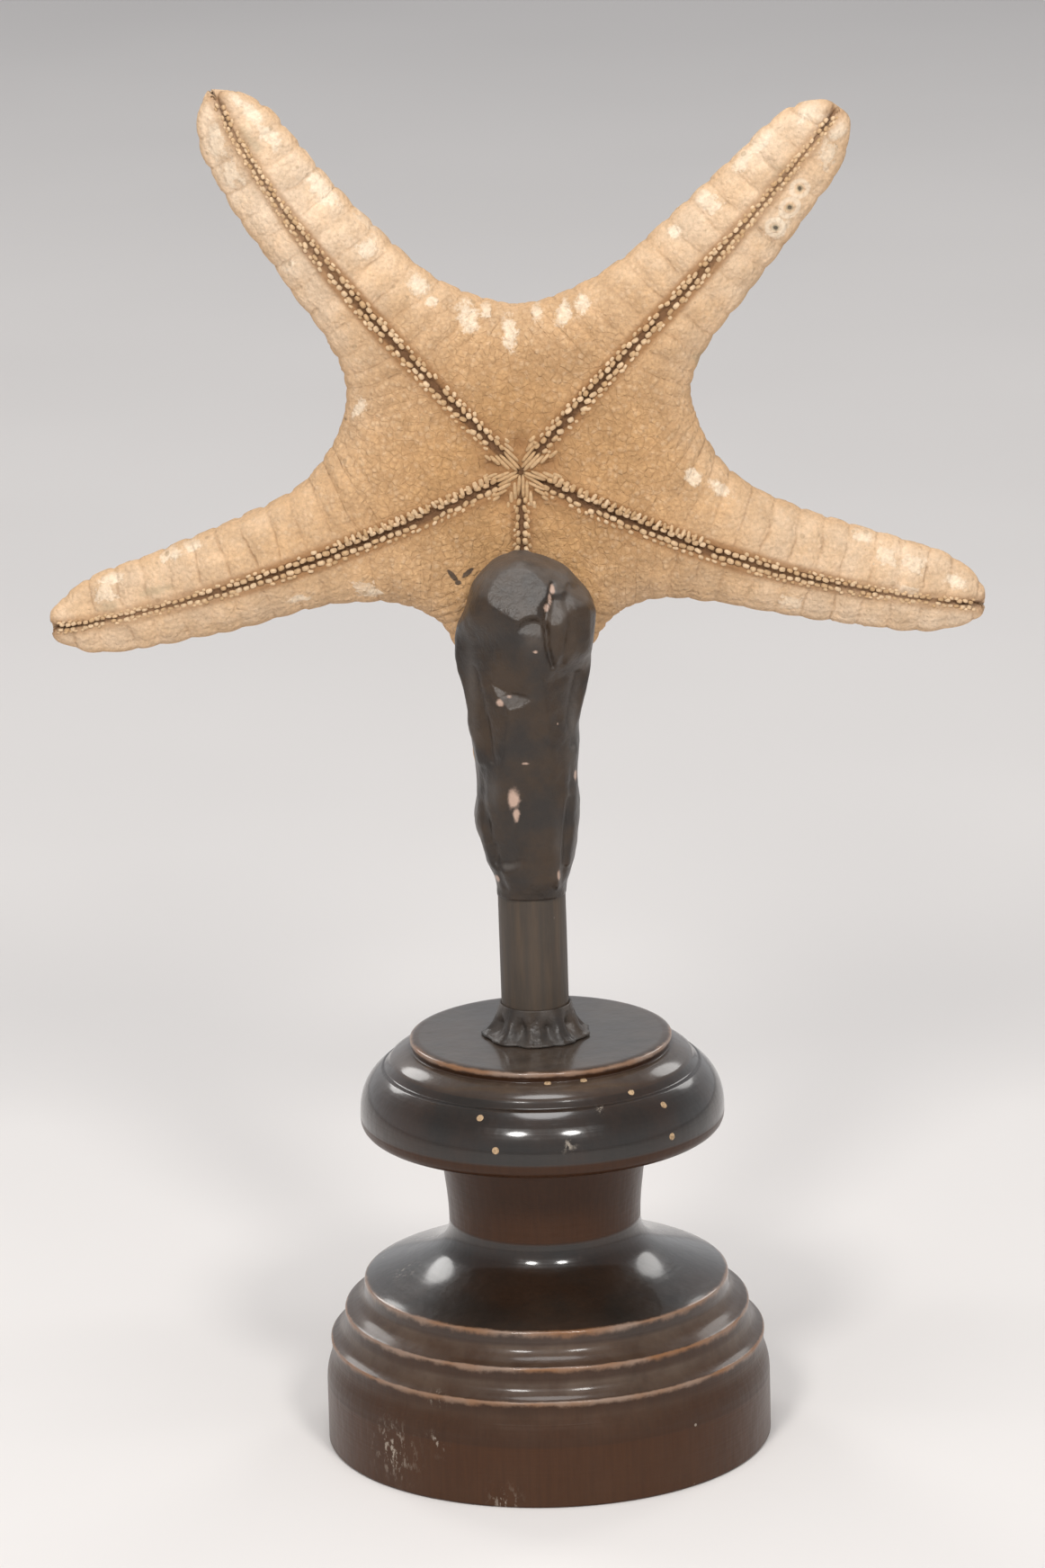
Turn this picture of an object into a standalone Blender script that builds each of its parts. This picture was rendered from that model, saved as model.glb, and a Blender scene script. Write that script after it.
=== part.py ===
"""Dried five-armed starfish held by modelling putty on a post in a turned wooden foot.

The frame's origin is the centre of the foot's underside. +Z is up, and the starfish
turns its mouth side towards -Y. Sizes in the tables are millimetres; MM turns them
into Blender's metres.
"""

import math
from dataclasses import dataclass

import bmesh
import bpy
from mathutils import Matrix, Vector

MM = 0.001
GAP = 0.3  # clearance between pieces that touch

# Turned foot
FOOT_STEPS = 48
FOOT_TOP_Z = 99.7
FOOT_RADIUS = 53.0
SOCKET_FLOOR_Z = 77.7

# Post
POST_RADIUS = 8.0
POST_SIDES = 32
POST_BOTTOM_Z = SOCKET_FLOOR_Z + GAP
POST_TOP_Z = 211.0
POST_X = -1.0  # centre of the post where it leaves the foot
POST_LEAN = math.radians(-0.5)  # the top leans towards -X

# Putty collar round the post where it enters the foot
COLLAR_RADIUS = 13.2
COLLAR_HEIGHT = 8.0
COLLAR_STEPS = 36
THUMB_PRESSES = 7
THUMB_DEPTH = 0.7

# Starfish
STAR_X = -1.5
STAR_Y = 17.0  # plane of the outline, where each arm is widest
STAR_Z = 233.3
NOTCH_STATION = 24.0  # the cross line that starts here on an arm's midline ends in the notch
EDGE_JOIN = 58.0  # past this distance from the centre an arm's edge follows its midline
NOTCH_HANDLE = 7.0  # how far the notch's curve runs on before it turns into the edges
JOIN_HANDLE = 12.0
DISC_ROWS = 7
ARM_ROWS = 16
ACROSS = 12
MOUTH_SIDE_BULGE = 7.0
BACK_BULGE_DISC = 17.0
BACK_BULGE_ARM = 9.5
TIP_BULGE_SHARE = 0.62
RIM_ROUNDING = 12.5

# Putty holder
HOLDER_AROUND = 36
HOLDER_RINGS = 30
CRADLE_GROWTH = 0.45  # how far the starfish is grown to press its shape into the putty


@dataclass(frozen=True)
class Arm:
    """One arm: its midline's control points and its half-widths, in millimetres.

    Points are (across, up) from the starfish's centre. Each half-width pair is taken at
    40 % and at 86 % of the arm's length, left and right as seen looking out along it.
    """

    name: str
    first: tuple
    second: tuple
    tip: tuple
    left: tuple
    right: tuple


# Counter-clockwise from the upper right arm, as seen from the mouth side
ARMS = (
    Arm("upper_right", (24, 28), (53, 55), (75.3, 83.5), (15.5, 10.8), (13.8, 9.8)),
    Arm("upper_left", (-25, 27), (-56, 60), (-68.6, 90.5), (12.1, 9.7), (16.0, 10.8)),
    Arm("lower_left", (-28, -13.5), (-72, -30), (-111.5, -36), (13.0, 9.2), (16.2, 10.8)),
    Arm("down", (0, -30), (-1, -64), (-1.5, -94), (15.9, 10.2), (15.9, 10.2)),
    Arm("right", (28, -14.5), (60, -29), (108.5, -35.7), (17.0, 11.9), (13.0, 8.8)),
)
# Deepest point of the notch that follows each arm: direction in degrees, and radius
NOTCHES = ((89.7, 38.8), (162.5, 43.2), (237.2, 41.5), (302.5, 42.2), (377.1, 42.6))

# Putty holder, bottom to top: height, left, right, front and back limits
HOLDER_SECTIONS = (
    (134.8, -9.9, 7.6, -9.0, 11.0),
    (137.5, -11.0, 7.8, -9.4, 18.0),
    (141.5, -12.4, 9.3, -9.8, 23.0),
    (146.0, -13.4, 10.1, -10.6, 25.6),
    (151.0, -13.4, 10.2, -10.9, 25.6),
    (156.0, -13.4, 9.2, -11.2, 23.6),
    (161.0, -13.3, 8.8, -11.4, 20.0),
    (168.0, -13.3, 9.2, -11.5, 16.6),
    (176.0, -15.0, 11.2, -11.7, 15.4),
    (183.0, -15.5, 12.6, -12.0, 15.0),
    (190.0, -17.4, 13.9, -12.2, 15.0),
    (197.0, -18.0, 15.6, -12.3, 14.6),
    (203.0, -16.2, 15.2, -12.0, 13.8),
    (208.0, -13.6, 12.9, -10.8, 12.8),
    (212.5, -9.5, 8.6, -8.4, 11.0),
    (215.2, -3.5, 2.6, -3.4, 7.0),
)


def bezier(points, steps):
    """Points on a cubic Bezier curve, both ends included."""
    a, b, c, d = (Vector(point) for point in points)
    curve = []
    for step in range(steps + 1):
        t = step / steps
        s = 1.0 - t
        curve.append(a * s**3 + b * (3 * s * s * t) + c * (3 * s * t * t) + d * t**3)
    return curve


def clear_scene():
    """Remove every object that the scene starts with."""
    for obj in list(bpy.data.objects):
        bpy.data.objects.remove(obj, do_unlink=True)


def new_collection(name):
    """A collection in the scene."""
    collection = bpy.data.collections.new(name)
    bpy.context.scene.collection.children.link(collection)
    return collection


def make_material(name, color, roughness, coat=0.0):
    """A Principled material."""
    material = bpy.data.materials.new(name)
    material.use_nodes = True
    shader = material.node_tree.nodes["Principled BSDF"]
    shader.inputs["Base Color"].default_value = (*color, 1.0)
    shader.inputs["Roughness"].default_value = roughness
    shader.inputs["Metallic"].default_value = 0.0
    shader.inputs["Coat Weight"].default_value = coat
    return material


def add_object(name, mesh, collection, material=None):
    """An object made of a mesh, with smooth sides and crisp corners."""
    obj = bpy.data.objects.new(name, mesh)
    collection.objects.link(obj)
    if material:
        mesh.materials.clear()
        mesh.materials.append(material)
    mesh.shade_smooth()
    mesh.set_sharp_from_angle(angle=math.radians(40))
    return obj


def mesh_from(bm, name):
    """Move a bmesh into a new mesh."""
    mesh = bpy.data.meshes.new(name)
    bm.to_mesh(mesh)
    bm.free()
    return mesh


def evaluated_copy(obj, name):
    """A mesh of the object with its modifiers applied."""
    graph = bpy.context.evaluated_depsgraph_get()
    mesh = bpy.data.meshes.new_from_object(obj.evaluated_get(graph))
    mesh.name = name
    return mesh


def turned_object(name, outline, steps, collection, material=None):
    """A turned piece: an outline of (radius, height) in millimetres, spun about Z."""
    bm = bmesh.new()
    verts = [bm.verts.new((radius * MM, 0.0, height * MM)) for radius, height in outline]
    for upper, lower in zip(verts, verts[1:]):
        bm.edges.new((upper, lower))
    obj = add_object(name, mesh_from(bm, name), collection, material)
    screw = obj.modifiers.new("turn", "SCREW")
    screw.axis = "Z"
    screw.angle = math.tau
    screw.steps = steps
    screw.render_steps = steps
    screw.use_merge_vertices = True
    screw.merge_threshold = 0.00001
    screw.use_smooth_shade = True
    return obj


def subtract(target, cutter, name):
    """Cut one closed mesh out of another."""
    boolean = target.modifiers.new(name, "BOOLEAN")
    boolean.operation = "DIFFERENCE"
    boolean.solver = "EXACT"
    boolean.object = cutter


def hide_cutter(cutter):
    """Keep a cutter out of the model."""
    cutter.hide_render = True
    cutter.display_type = "WIRE"


def post_place():
    """Matrix that stands an upright piece on the post's leaning axis at the foot's top."""
    foot = Matrix.Translation((POST_X * MM, 0.0, FOOT_TOP_Z * MM))
    return foot @ Matrix.Rotation(POST_LEAN, 4, "Y")


def post_cylinder(name, radius, bottom, top, collection, material=None):
    """A round bar on the post's axis between two heights."""
    bm = bmesh.new()
    length = (top - bottom) * MM
    middle = (0.5 * (top + bottom) - FOOT_TOP_Z) * MM
    bmesh.ops.create_cone(
        bm,
        cap_ends=True,
        segments=POST_SIDES,
        radius1=radius * MM,
        radius2=radius * MM,
        depth=length,
        matrix=Matrix.Translation((0.0, 0.0, middle)),
    )
    obj = add_object(name, mesh_from(bm, name), collection, material)
    obj.matrix_world = post_place()
    return obj


def foot_outline():
    """The turned foot's outline from the middle of its top down to its underside."""
    outline = [(0.0, FOOT_TOP_Z)]
    outline += bezier(((30.2, 99.7), (31.2, 99.7), (31.4, 98.6), (30.7, 98.0)), 3)
    outline.append((30.6, 97.0))
    outline += bezier(((31.7, 96.8), (38.6, 93.6), (43.2, 88.4), (43.2, 81.2)), 8)
    outline += bezier(((43.2, 80.4), (43.2, 78.2), (41.8, 77.3), (40.0, 77.0)), 3)
    outline += [(33.3, 75.0), (25.3, 73.9)]
    outline += bezier(((24.7, 73.0), (23.9, 67.0), (22.8, 60.0), (22.8, 55.0)), 3)
    outline += bezier(((22.8, 54.0), (22.9, 47.5), (30.0, 45.0), (43.4, 39.9)), 7)
    outline += bezier(((43.3, 39.1), (43.3, 35.6), (45.4, 34.0), (48.2, 33.0)), 4)
    outline += bezier(((48.1, 32.1), (48.2, 28.6), (49.4, 27.0), (51.8, 25.8)), 4)
    outline += bezier(((51.6, 24.9), (50.7, 21.4), (53.0, 19.4), (53.0, 14.8)), 5)
    outline += [(FOOT_RADIUS, 0.6), (FOOT_RADIUS - 0.6, 0.0), (0.0, 0.0)]
    return [tuple(point) for point in outline]


def build_foot(collection, cutters, material):
    """The turned foot with a blind socket for the post."""
    foot = turned_object("turned_foot", foot_outline(), FOOT_STEPS, collection, material)
    socket_top = FOOT_TOP_Z + 12.0
    socket = post_cylinder("socket_cutter", POST_RADIUS + GAP, SOCKET_FLOOR_Z, socket_top, cutters)
    hide_cutter(socket)
    subtract(foot, socket, "socket")
    return foot


def build_collar(collection, material):
    """The ring of putty at the post's foot, pressed with a thumb all round."""
    inner = POST_RADIUS + GAP
    bottom = FOOT_TOP_Z + GAP
    outline = [(inner, bottom), (inner, bottom + COLLAR_HEIGHT)]
    outline.append((inner + 0.6, bottom + COLLAR_HEIGHT))
    lip = ((inner + 1.0, bottom + 7.0), (inner + 1.4, bottom + 3.2))
    toe = ((COLLAR_RADIUS - 1.4, bottom + 1.6), (COLLAR_RADIUS, bottom + 0.9))
    outline += bezier((*lip, *toe), 6)
    outline += [(COLLAR_RADIUS, bottom + 0.3), (COLLAR_RADIUS - 0.4, bottom), (inner, bottom)]
    ring = turned_object("ring", outline, COLLAR_STEPS, collection)
    mesh = evaluated_copy(ring, "putty_collar")
    bpy.data.objects.remove(ring, do_unlink=True)
    for vert in mesh.vertices:
        radius = math.hypot(vert.co.x, vert.co.y) / MM
        turn = math.atan2(vert.co.y, vert.co.x)
        reach = max(0.0, (radius - inner - 0.7) / (COLLAR_RADIUS - inner))
        press = 0.5 + 0.5 * math.cos(THUMB_PRESSES * turn + 1.3 * math.sin(turn))
        scale = 1.0 - reach * THUMB_DEPTH * press / max(radius, inner)
        vert.co.x *= scale
        vert.co.y *= scale
    mesh.transform(Matrix.Translation((POST_X * MM, 0.0, 0.0)))
    return add_object("putty_collar", mesh, collection, material)


def smoothstep(value):
    """Ease from 0 to 1."""
    t = min(1.0, max(0.0, value))
    return t * t * (3.0 - 2.0 * t)


class StarShape:
    """The starfish's outline and thickness, in millimetres from its centre."""

    def __init__(self):
        """Measure the arms and trace the outline."""
        self.midlines = [bezier(((0, 0), arm.first, arm.second, arm.tip), 60) for arm in ARMS]
        self.lengths = [self.length_of(line) for line in self.midlines]
        self.notches = []
        for degrees, radius in NOTCHES:
            turn = math.radians(degrees)
            self.notches.append(Vector((math.cos(turn), math.sin(turn))) * radius)
        self.outline = []
        for index in range(len(ARMS)):
            for side in (-1, 1):
                for step in range(41):
                    self.outline.append(self.edge_point(index, side, step / 40))

    @staticmethod
    def length_of(line):
        """Length of a polyline."""
        return sum((b - a).length for a, b in zip(line, line[1:]))

    def midline(self, index, station):
        """Point and direction on an arm's midline at a distance from the centre."""
        line = self.midlines[index]
        left = station
        for a, b in zip(line, line[1:]):
            span = (b - a).length
            if left <= span or b is line[-1]:
                return a + (b - a) * (left / span), (b - a) / span
            left -= span
        return line[-1], (line[-1] - line[-2]).normalized()

    def half_width(self, index, side, station):
        """Half-width of an arm on one side, rounded off at the tip."""
        arm = ARMS[index]
        root, end = arm.left if side > 0 else arm.right
        share = station / self.lengths[index]
        width = root + (end - root) * (share - 0.40) / 0.46
        if share > 0.86:
            width *= math.sqrt(max(0.0, 1.0 - ((share - 0.86) / 0.14) ** 2.2))
        return width

    def offset_edge(self, index, side, station):
        """Point beside an arm's midline, on its edge."""
        point, along = self.midline(index, station)
        across = Vector((-along.y, along.x)) * side
        return point + across * self.half_width(index, side, station)

    def notch_of(self, index, side):
        """The notch beside an arm: side +1 is counter-clockwise."""
        return self.notches[index if side > 0 else index - 1]

    def station_at(self, index, share):
        """Distance from the centre for a share of the way from the notch line to the tip."""
        eased = 1.0 - (1.0 - share) ** 1.45
        return NOTCH_STATION + (self.lengths[index] - NOTCH_STATION) * eased

    def edge_point(self, index, side, share):
        """Point on an arm's edge for a share of the way from the notch to the tip."""
        station = self.station_at(index, share)
        if station >= EDGE_JOIN:
            return self.offset_edge(index, side, station)
        notch = self.notch_of(index, side)
        tangent = Vector((notch.y, -notch.x)).normalized() * side
        join = self.offset_edge(index, side, EDGE_JOIN)
        back = join - self.offset_edge(index, side, EDGE_JOIN + 4.0)
        handles = (notch + tangent * NOTCH_HANDLE, join + back.normalized() * JOIN_HANDLE)
        t = (station - NOTCH_STATION) / (EDGE_JOIN - NOTCH_STATION)
        s = 1.0 - t
        blend = notch * s**3 + handles[0] * (3 * s * s * t)
        return blend + handles[1] * (3 * s * t * t) + join * t**3

    def surface_point(self, index, row, across):
        """Point of the flat pattern: row 0 is the centre, across runs from -1 to 1."""
        side = 1 if across >= 0.0 else -1
        spread = math.sin(0.5 * math.pi * abs(across))
        if row <= DISC_ROWS:
            share = math.sin(0.5 * math.pi * row / DISC_ROWS)
            middle, _ = self.midline(index, NOTCH_STATION * share)
            edge = self.notch_of(index, side) * share
        else:
            share = (row - DISC_ROWS) / ARM_ROWS
            middle, _ = self.midline(index, self.station_at(index, share))
            edge = self.edge_point(index, side, share)
        return middle + (edge - middle) * spread

    def rim(self, point):
        """0 on the outline, 1 away from it, rounded like a rim."""
        nearest = min((point - other).length for other in self.outline)
        t = min(1.0, nearest / RIM_ROUNDING)
        return math.sqrt(max(0.0, 1.0 - (1.0 - t) ** 2))

    def bulge(self, point, back):
        """Height of the mouth side or the back above the outline's plane."""
        radius = point.length
        toward_tip = smoothstep((radius - 60.0) / 52.0)
        if back:
            height = BACK_BULGE_ARM + (BACK_BULGE_DISC - BACK_BULGE_ARM) * math.exp(-((radius / 36.0) ** 2))
        else:
            height = MOUTH_SIDE_BULGE
        return height * (1.0 - (1.0 - TIP_BULGE_SHARE) * toward_tip) * self.rim(point)


def build_starfish(shape, collection, material):
    """One closed body: a mouth side and a back that share the outline."""
    bm = bmesh.new()
    rows = DISC_ROWS + ARM_ROWS
    for index in range(len(ARMS)):
        for back in (False, True):
            known = len(bm.verts)
            bmesh.ops.create_grid(bm, x_segments=rows, y_segments=ACROSS, size=0.5)
            bm.verts.ensure_lookup_table()
            for vert in bm.verts[known:]:
                row = round((vert.co.x + 0.5) * rows)
                column = round((vert.co.y + 0.5) * ACROSS)
                point = shape.surface_point(index, row, 2.0 * column / ACROSS - 1.0)
                on_edge = column in (0, ACROSS) and row >= DISC_ROWS or row == rows
                height = 0.0 if on_edge else shape.bulge(point, back)
                depth = STAR_Y + (height if back else -height)
                vert.co = ((STAR_X + point.x) * MM, depth * MM, (STAR_Z + point.y) * MM)
    bmesh.ops.remove_doubles(bm, verts=bm.verts, dist=0.02 * MM)
    bmesh.ops.recalc_face_normals(bm, faces=bm.faces)
    return add_object("starfish", mesh_from(bm, "starfish"), collection, material)


def inflated_cutter(obj, name, distance, cutters):
    """A copy of a closed mesh, grown along its normals."""
    bm = bmesh.new()
    bm.from_mesh(obj.data)
    bm.normal_update()
    moves = [(vert, vert.normal.copy()) for vert in bm.verts]
    for vert, normal in moves:
        vert.co += normal * (distance * MM)
    cutter = add_object(name, mesh_from(bm, name), cutters)
    hide_cutter(cutter)
    return cutter


def holder_section(height):
    """Limits of the putty holder at a height, eased between its sections."""
    for lower, upper in zip(HOLDER_SECTIONS, HOLDER_SECTIONS[1:]):
        if height <= upper[0]:
            t = smoothstep((height - lower[0]) / (upper[0] - lower[0]))
            return [a + (b - a) * t for a, b in zip(lower[1:], upper[1:])]
    return HOLDER_SECTIONS[-1][1:]


def build_holder(starfish, collection, cutters, material):
    """Putty moulded round the post's top and the arm that points down."""
    bm = bmesh.new()
    bmesh.ops.create_uvsphere(bm, u_segments=HOLDER_AROUND, v_segments=HOLDER_RINGS, radius=1.0)
    bottom = HOLDER_SECTIONS[0][0]
    top = HOLDER_SECTIONS[-1][0]
    for vert in bm.verts:
        ring = round(HOLDER_RINGS * math.acos(max(-1.0, min(1.0, -vert.co.z))) / math.pi)
        share = (ring - 1) / (HOLDER_RINGS - 2)
        height = bottom + (top - bottom) * min(1.0, max(0.0, share))
        left, right, front, rear = holder_section(height)
        turn = math.atan2(vert.co.y, vert.co.x)
        reach = 0.0 if ring in (0, HOLDER_RINGS) else 1.0
        squareness = 0.8
        x = math.copysign(abs(math.cos(turn)) ** squareness, math.cos(turn)) * reach
        y = math.copysign(abs(math.sin(turn)) ** squareness, math.sin(turn)) * reach
        middle_x = 0.5 * (left + right)
        middle_y = min(0.5 * (front + rear), 1.5)
        depth = (rear - middle_y) if y > 0.0 else (middle_y - front)
        vert.co = (
            (middle_x + 0.5 * (right - left) * x) * MM,
            (middle_y + depth * y) * MM,
            (height + (0.3 if ring == HOLDER_RINGS else 0.0)) * MM,
        )
    bmesh.ops.recalc_face_normals(bm, faces=bm.faces)
    holder = add_object("putty_holder", mesh_from(bm, "putty_holder"), collection, material)
    bore_bottom = bottom - 8.0
    bore = post_cylinder("bore_cutter", POST_RADIUS + GAP, bore_bottom, POST_TOP_Z + GAP, cutters)
    hide_cutter(bore)
    cradle = inflated_cutter(starfish, "cradle_cutter", CRADLE_GROWTH, cutters)
    subtract(holder, bore, "bore")
    subtract(holder, cradle, "cradle")
    return holder


def main():
    """Build every piece in its place."""
    clear_scene()
    model = new_collection("starfish_on_stand")
    cutters = new_collection("cutters")
    dried = make_material("dried_starfish", (0.62, 0.44, 0.26), 0.85)
    putty = make_material("dark_putty", (0.035, 0.032, 0.032), 0.42, 0.2)
    paint = make_material("dark_post", (0.045, 0.036, 0.030), 0.5)
    ebonised = make_material("ebonised_wood", (0.040, 0.026, 0.018), 0.38, 0.3)
    build_foot(model, cutters, ebonised)
    post_cylinder("post", POST_RADIUS, POST_BOTTOM_Z, POST_TOP_Z, model, paint)
    build_collar(model, putty)
    starfish = build_starfish(StarShape(), model, dried)
    build_holder(starfish, model, cutters, putty)


main()
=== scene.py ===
"""Looks of a dried five-armed starfish held by dark putty on a post in a turned foot.

The frame's origin is the centre of the foot's underside, +Z is up, and the starfish turns
its mouth side towards -Y. Sizes in the classes are millimetres, and MM makes them metres.
"""

import logging
import math
import random
from dataclasses import dataclass
from enum import Enum

import bmesh
import bpy
from mathutils import Matrix, Vector, kdtree, noise


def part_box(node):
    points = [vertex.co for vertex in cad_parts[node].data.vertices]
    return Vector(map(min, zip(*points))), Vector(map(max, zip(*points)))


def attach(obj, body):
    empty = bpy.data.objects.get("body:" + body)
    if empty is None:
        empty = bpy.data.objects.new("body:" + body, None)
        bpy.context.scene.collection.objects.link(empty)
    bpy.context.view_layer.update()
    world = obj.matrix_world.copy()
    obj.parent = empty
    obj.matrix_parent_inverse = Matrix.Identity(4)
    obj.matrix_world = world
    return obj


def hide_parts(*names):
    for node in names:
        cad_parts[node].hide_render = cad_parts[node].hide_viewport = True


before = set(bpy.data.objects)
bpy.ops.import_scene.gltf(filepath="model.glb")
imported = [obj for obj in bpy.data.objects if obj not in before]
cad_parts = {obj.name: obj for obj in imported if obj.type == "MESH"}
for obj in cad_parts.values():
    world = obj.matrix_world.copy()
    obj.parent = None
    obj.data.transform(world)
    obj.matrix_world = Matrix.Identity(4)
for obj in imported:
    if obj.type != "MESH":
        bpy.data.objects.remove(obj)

MM = 0.001
STAR_CENTER = (-1.5, 233.3)  # across and up
LOG = logging.getLogger("starfish_on_stand")

Triple = tuple[float, float, float]
Color = Triple
Pair = tuple[float, float]
Socket = bpy.types.NodeSocket
Value = float | tuple | Socket


def smoothstep(value: float) -> float:
    """Ease from 0 to 1."""
    t = min(1.0, max(0.0, value))
    return t * t * (3.0 - 2.0 * t)


def hump(distance: float, width: float) -> float:
    """A rounded bump: 1 at no distance, fading out over about two widths."""
    return math.exp(-((distance / width) ** 2))


def bezier(points: tuple[Pair, Pair, Pair, Pair], steps: int) -> list[Vector]:
    """Points on a cubic Bezier curve, both ends included.

    Args:
        points: The curve's four control points.
        steps: How many parts the curve is cut into.

    Returns:
        The steps + 1 points.
    """
    a, b, c, d = (Vector(point) for point in points)
    curve = []
    for step in range(steps + 1):
        t = step / steps
        s = 1.0 - t
        curve.append(a * s**3 + b * (3 * s * s * t) + c * (3 * s * t * t) + d * t**3)
    return curve


def segment_distance(point: Vector, start: Vector, end: Vector) -> float:
    """Distance from a point to a straight segment."""
    run = end - start
    share = (point - start).dot(run) / max(run.length_squared, 1e-12)
    return (point - start - run * min(1.0, max(0.0, share))).length


def indexed(places: list[Vector]) -> kdtree.KDTree:
    """A tree that finds the nearest of some points."""
    tree = kdtree.KDTree(len(places))
    for number, place in enumerate(places):
        tree.insert(place, number)
    tree.balance()
    return tree


def spin_outline(bm: bmesh.types.BMesh, line: list[Pair], steps: int, closed: bool) -> None:
    """Spin an outline of (radius, height) points once round the Z axis.

    Args:
        bm: The bmesh that gets the shape.
        line: The outline in millimetres.
        steps: How many parts the turn is cut into.
        closed: Whether the outline's last point joins its first.
    """
    verts = [bm.verts.new((radius * MM, 0.0, height * MM)) for radius, height in line]
    after = verts[1:] + verts[:1] if closed else verts[1:]
    edges = [bm.edges.new(pair) for pair in zip(verts, after)]
    bmesh.ops.spin(
        bm, geom=verts + edges, cent=(0, 0, 0), axis=(0, 0, 1), angle=math.tau, steps=steps, use_merge=True
    )
    bmesh.ops.remove_doubles(bm, verts=bm.verts, dist=0.002 * MM)


def put_in_scene(name: str, data: bpy.types.ID) -> bpy.types.Object:
    """A new object in the scene that holds a mesh, a lamp or a camera."""
    made = bpy.data.objects.new(name, data)
    bpy.context.scene.collection.objects.link(made)
    return made


def mesh_object(name: str, bm: bmesh.types.BMesh, material: bpy.types.Material) -> bpy.types.Object:
    """Turn a bmesh into an object of one material, and free the bmesh."""
    mesh = bpy.data.meshes.new(name)
    bm.to_mesh(mesh)
    bm.free()
    mesh.materials.append(material)
    return put_in_scene(name, mesh)


def add_piece(
    name: str, bm: bmesh.types.BMesh, material: bpy.types.Material, slot: str, *nodes: str
) -> bpy.types.Object:
    """Turn a bmesh into a piece that rides on the object's one body.

    Args:
        name: The piece's name.
        bm: Its shape in metres, freed here.
        material: Its finish.
        slot: Not used.
        nodes: The CAD nodes that it stands for.

    Returns:
        The piece.
    """
    piece = mesh_object(name, bm, material)
    piece.data.shade_smooth()
    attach(piece, "root")
    if nodes:
        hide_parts(*nodes)
    LOG.info("%s: %d faces", name, len(piece.data.polygons))
    return piece


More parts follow.
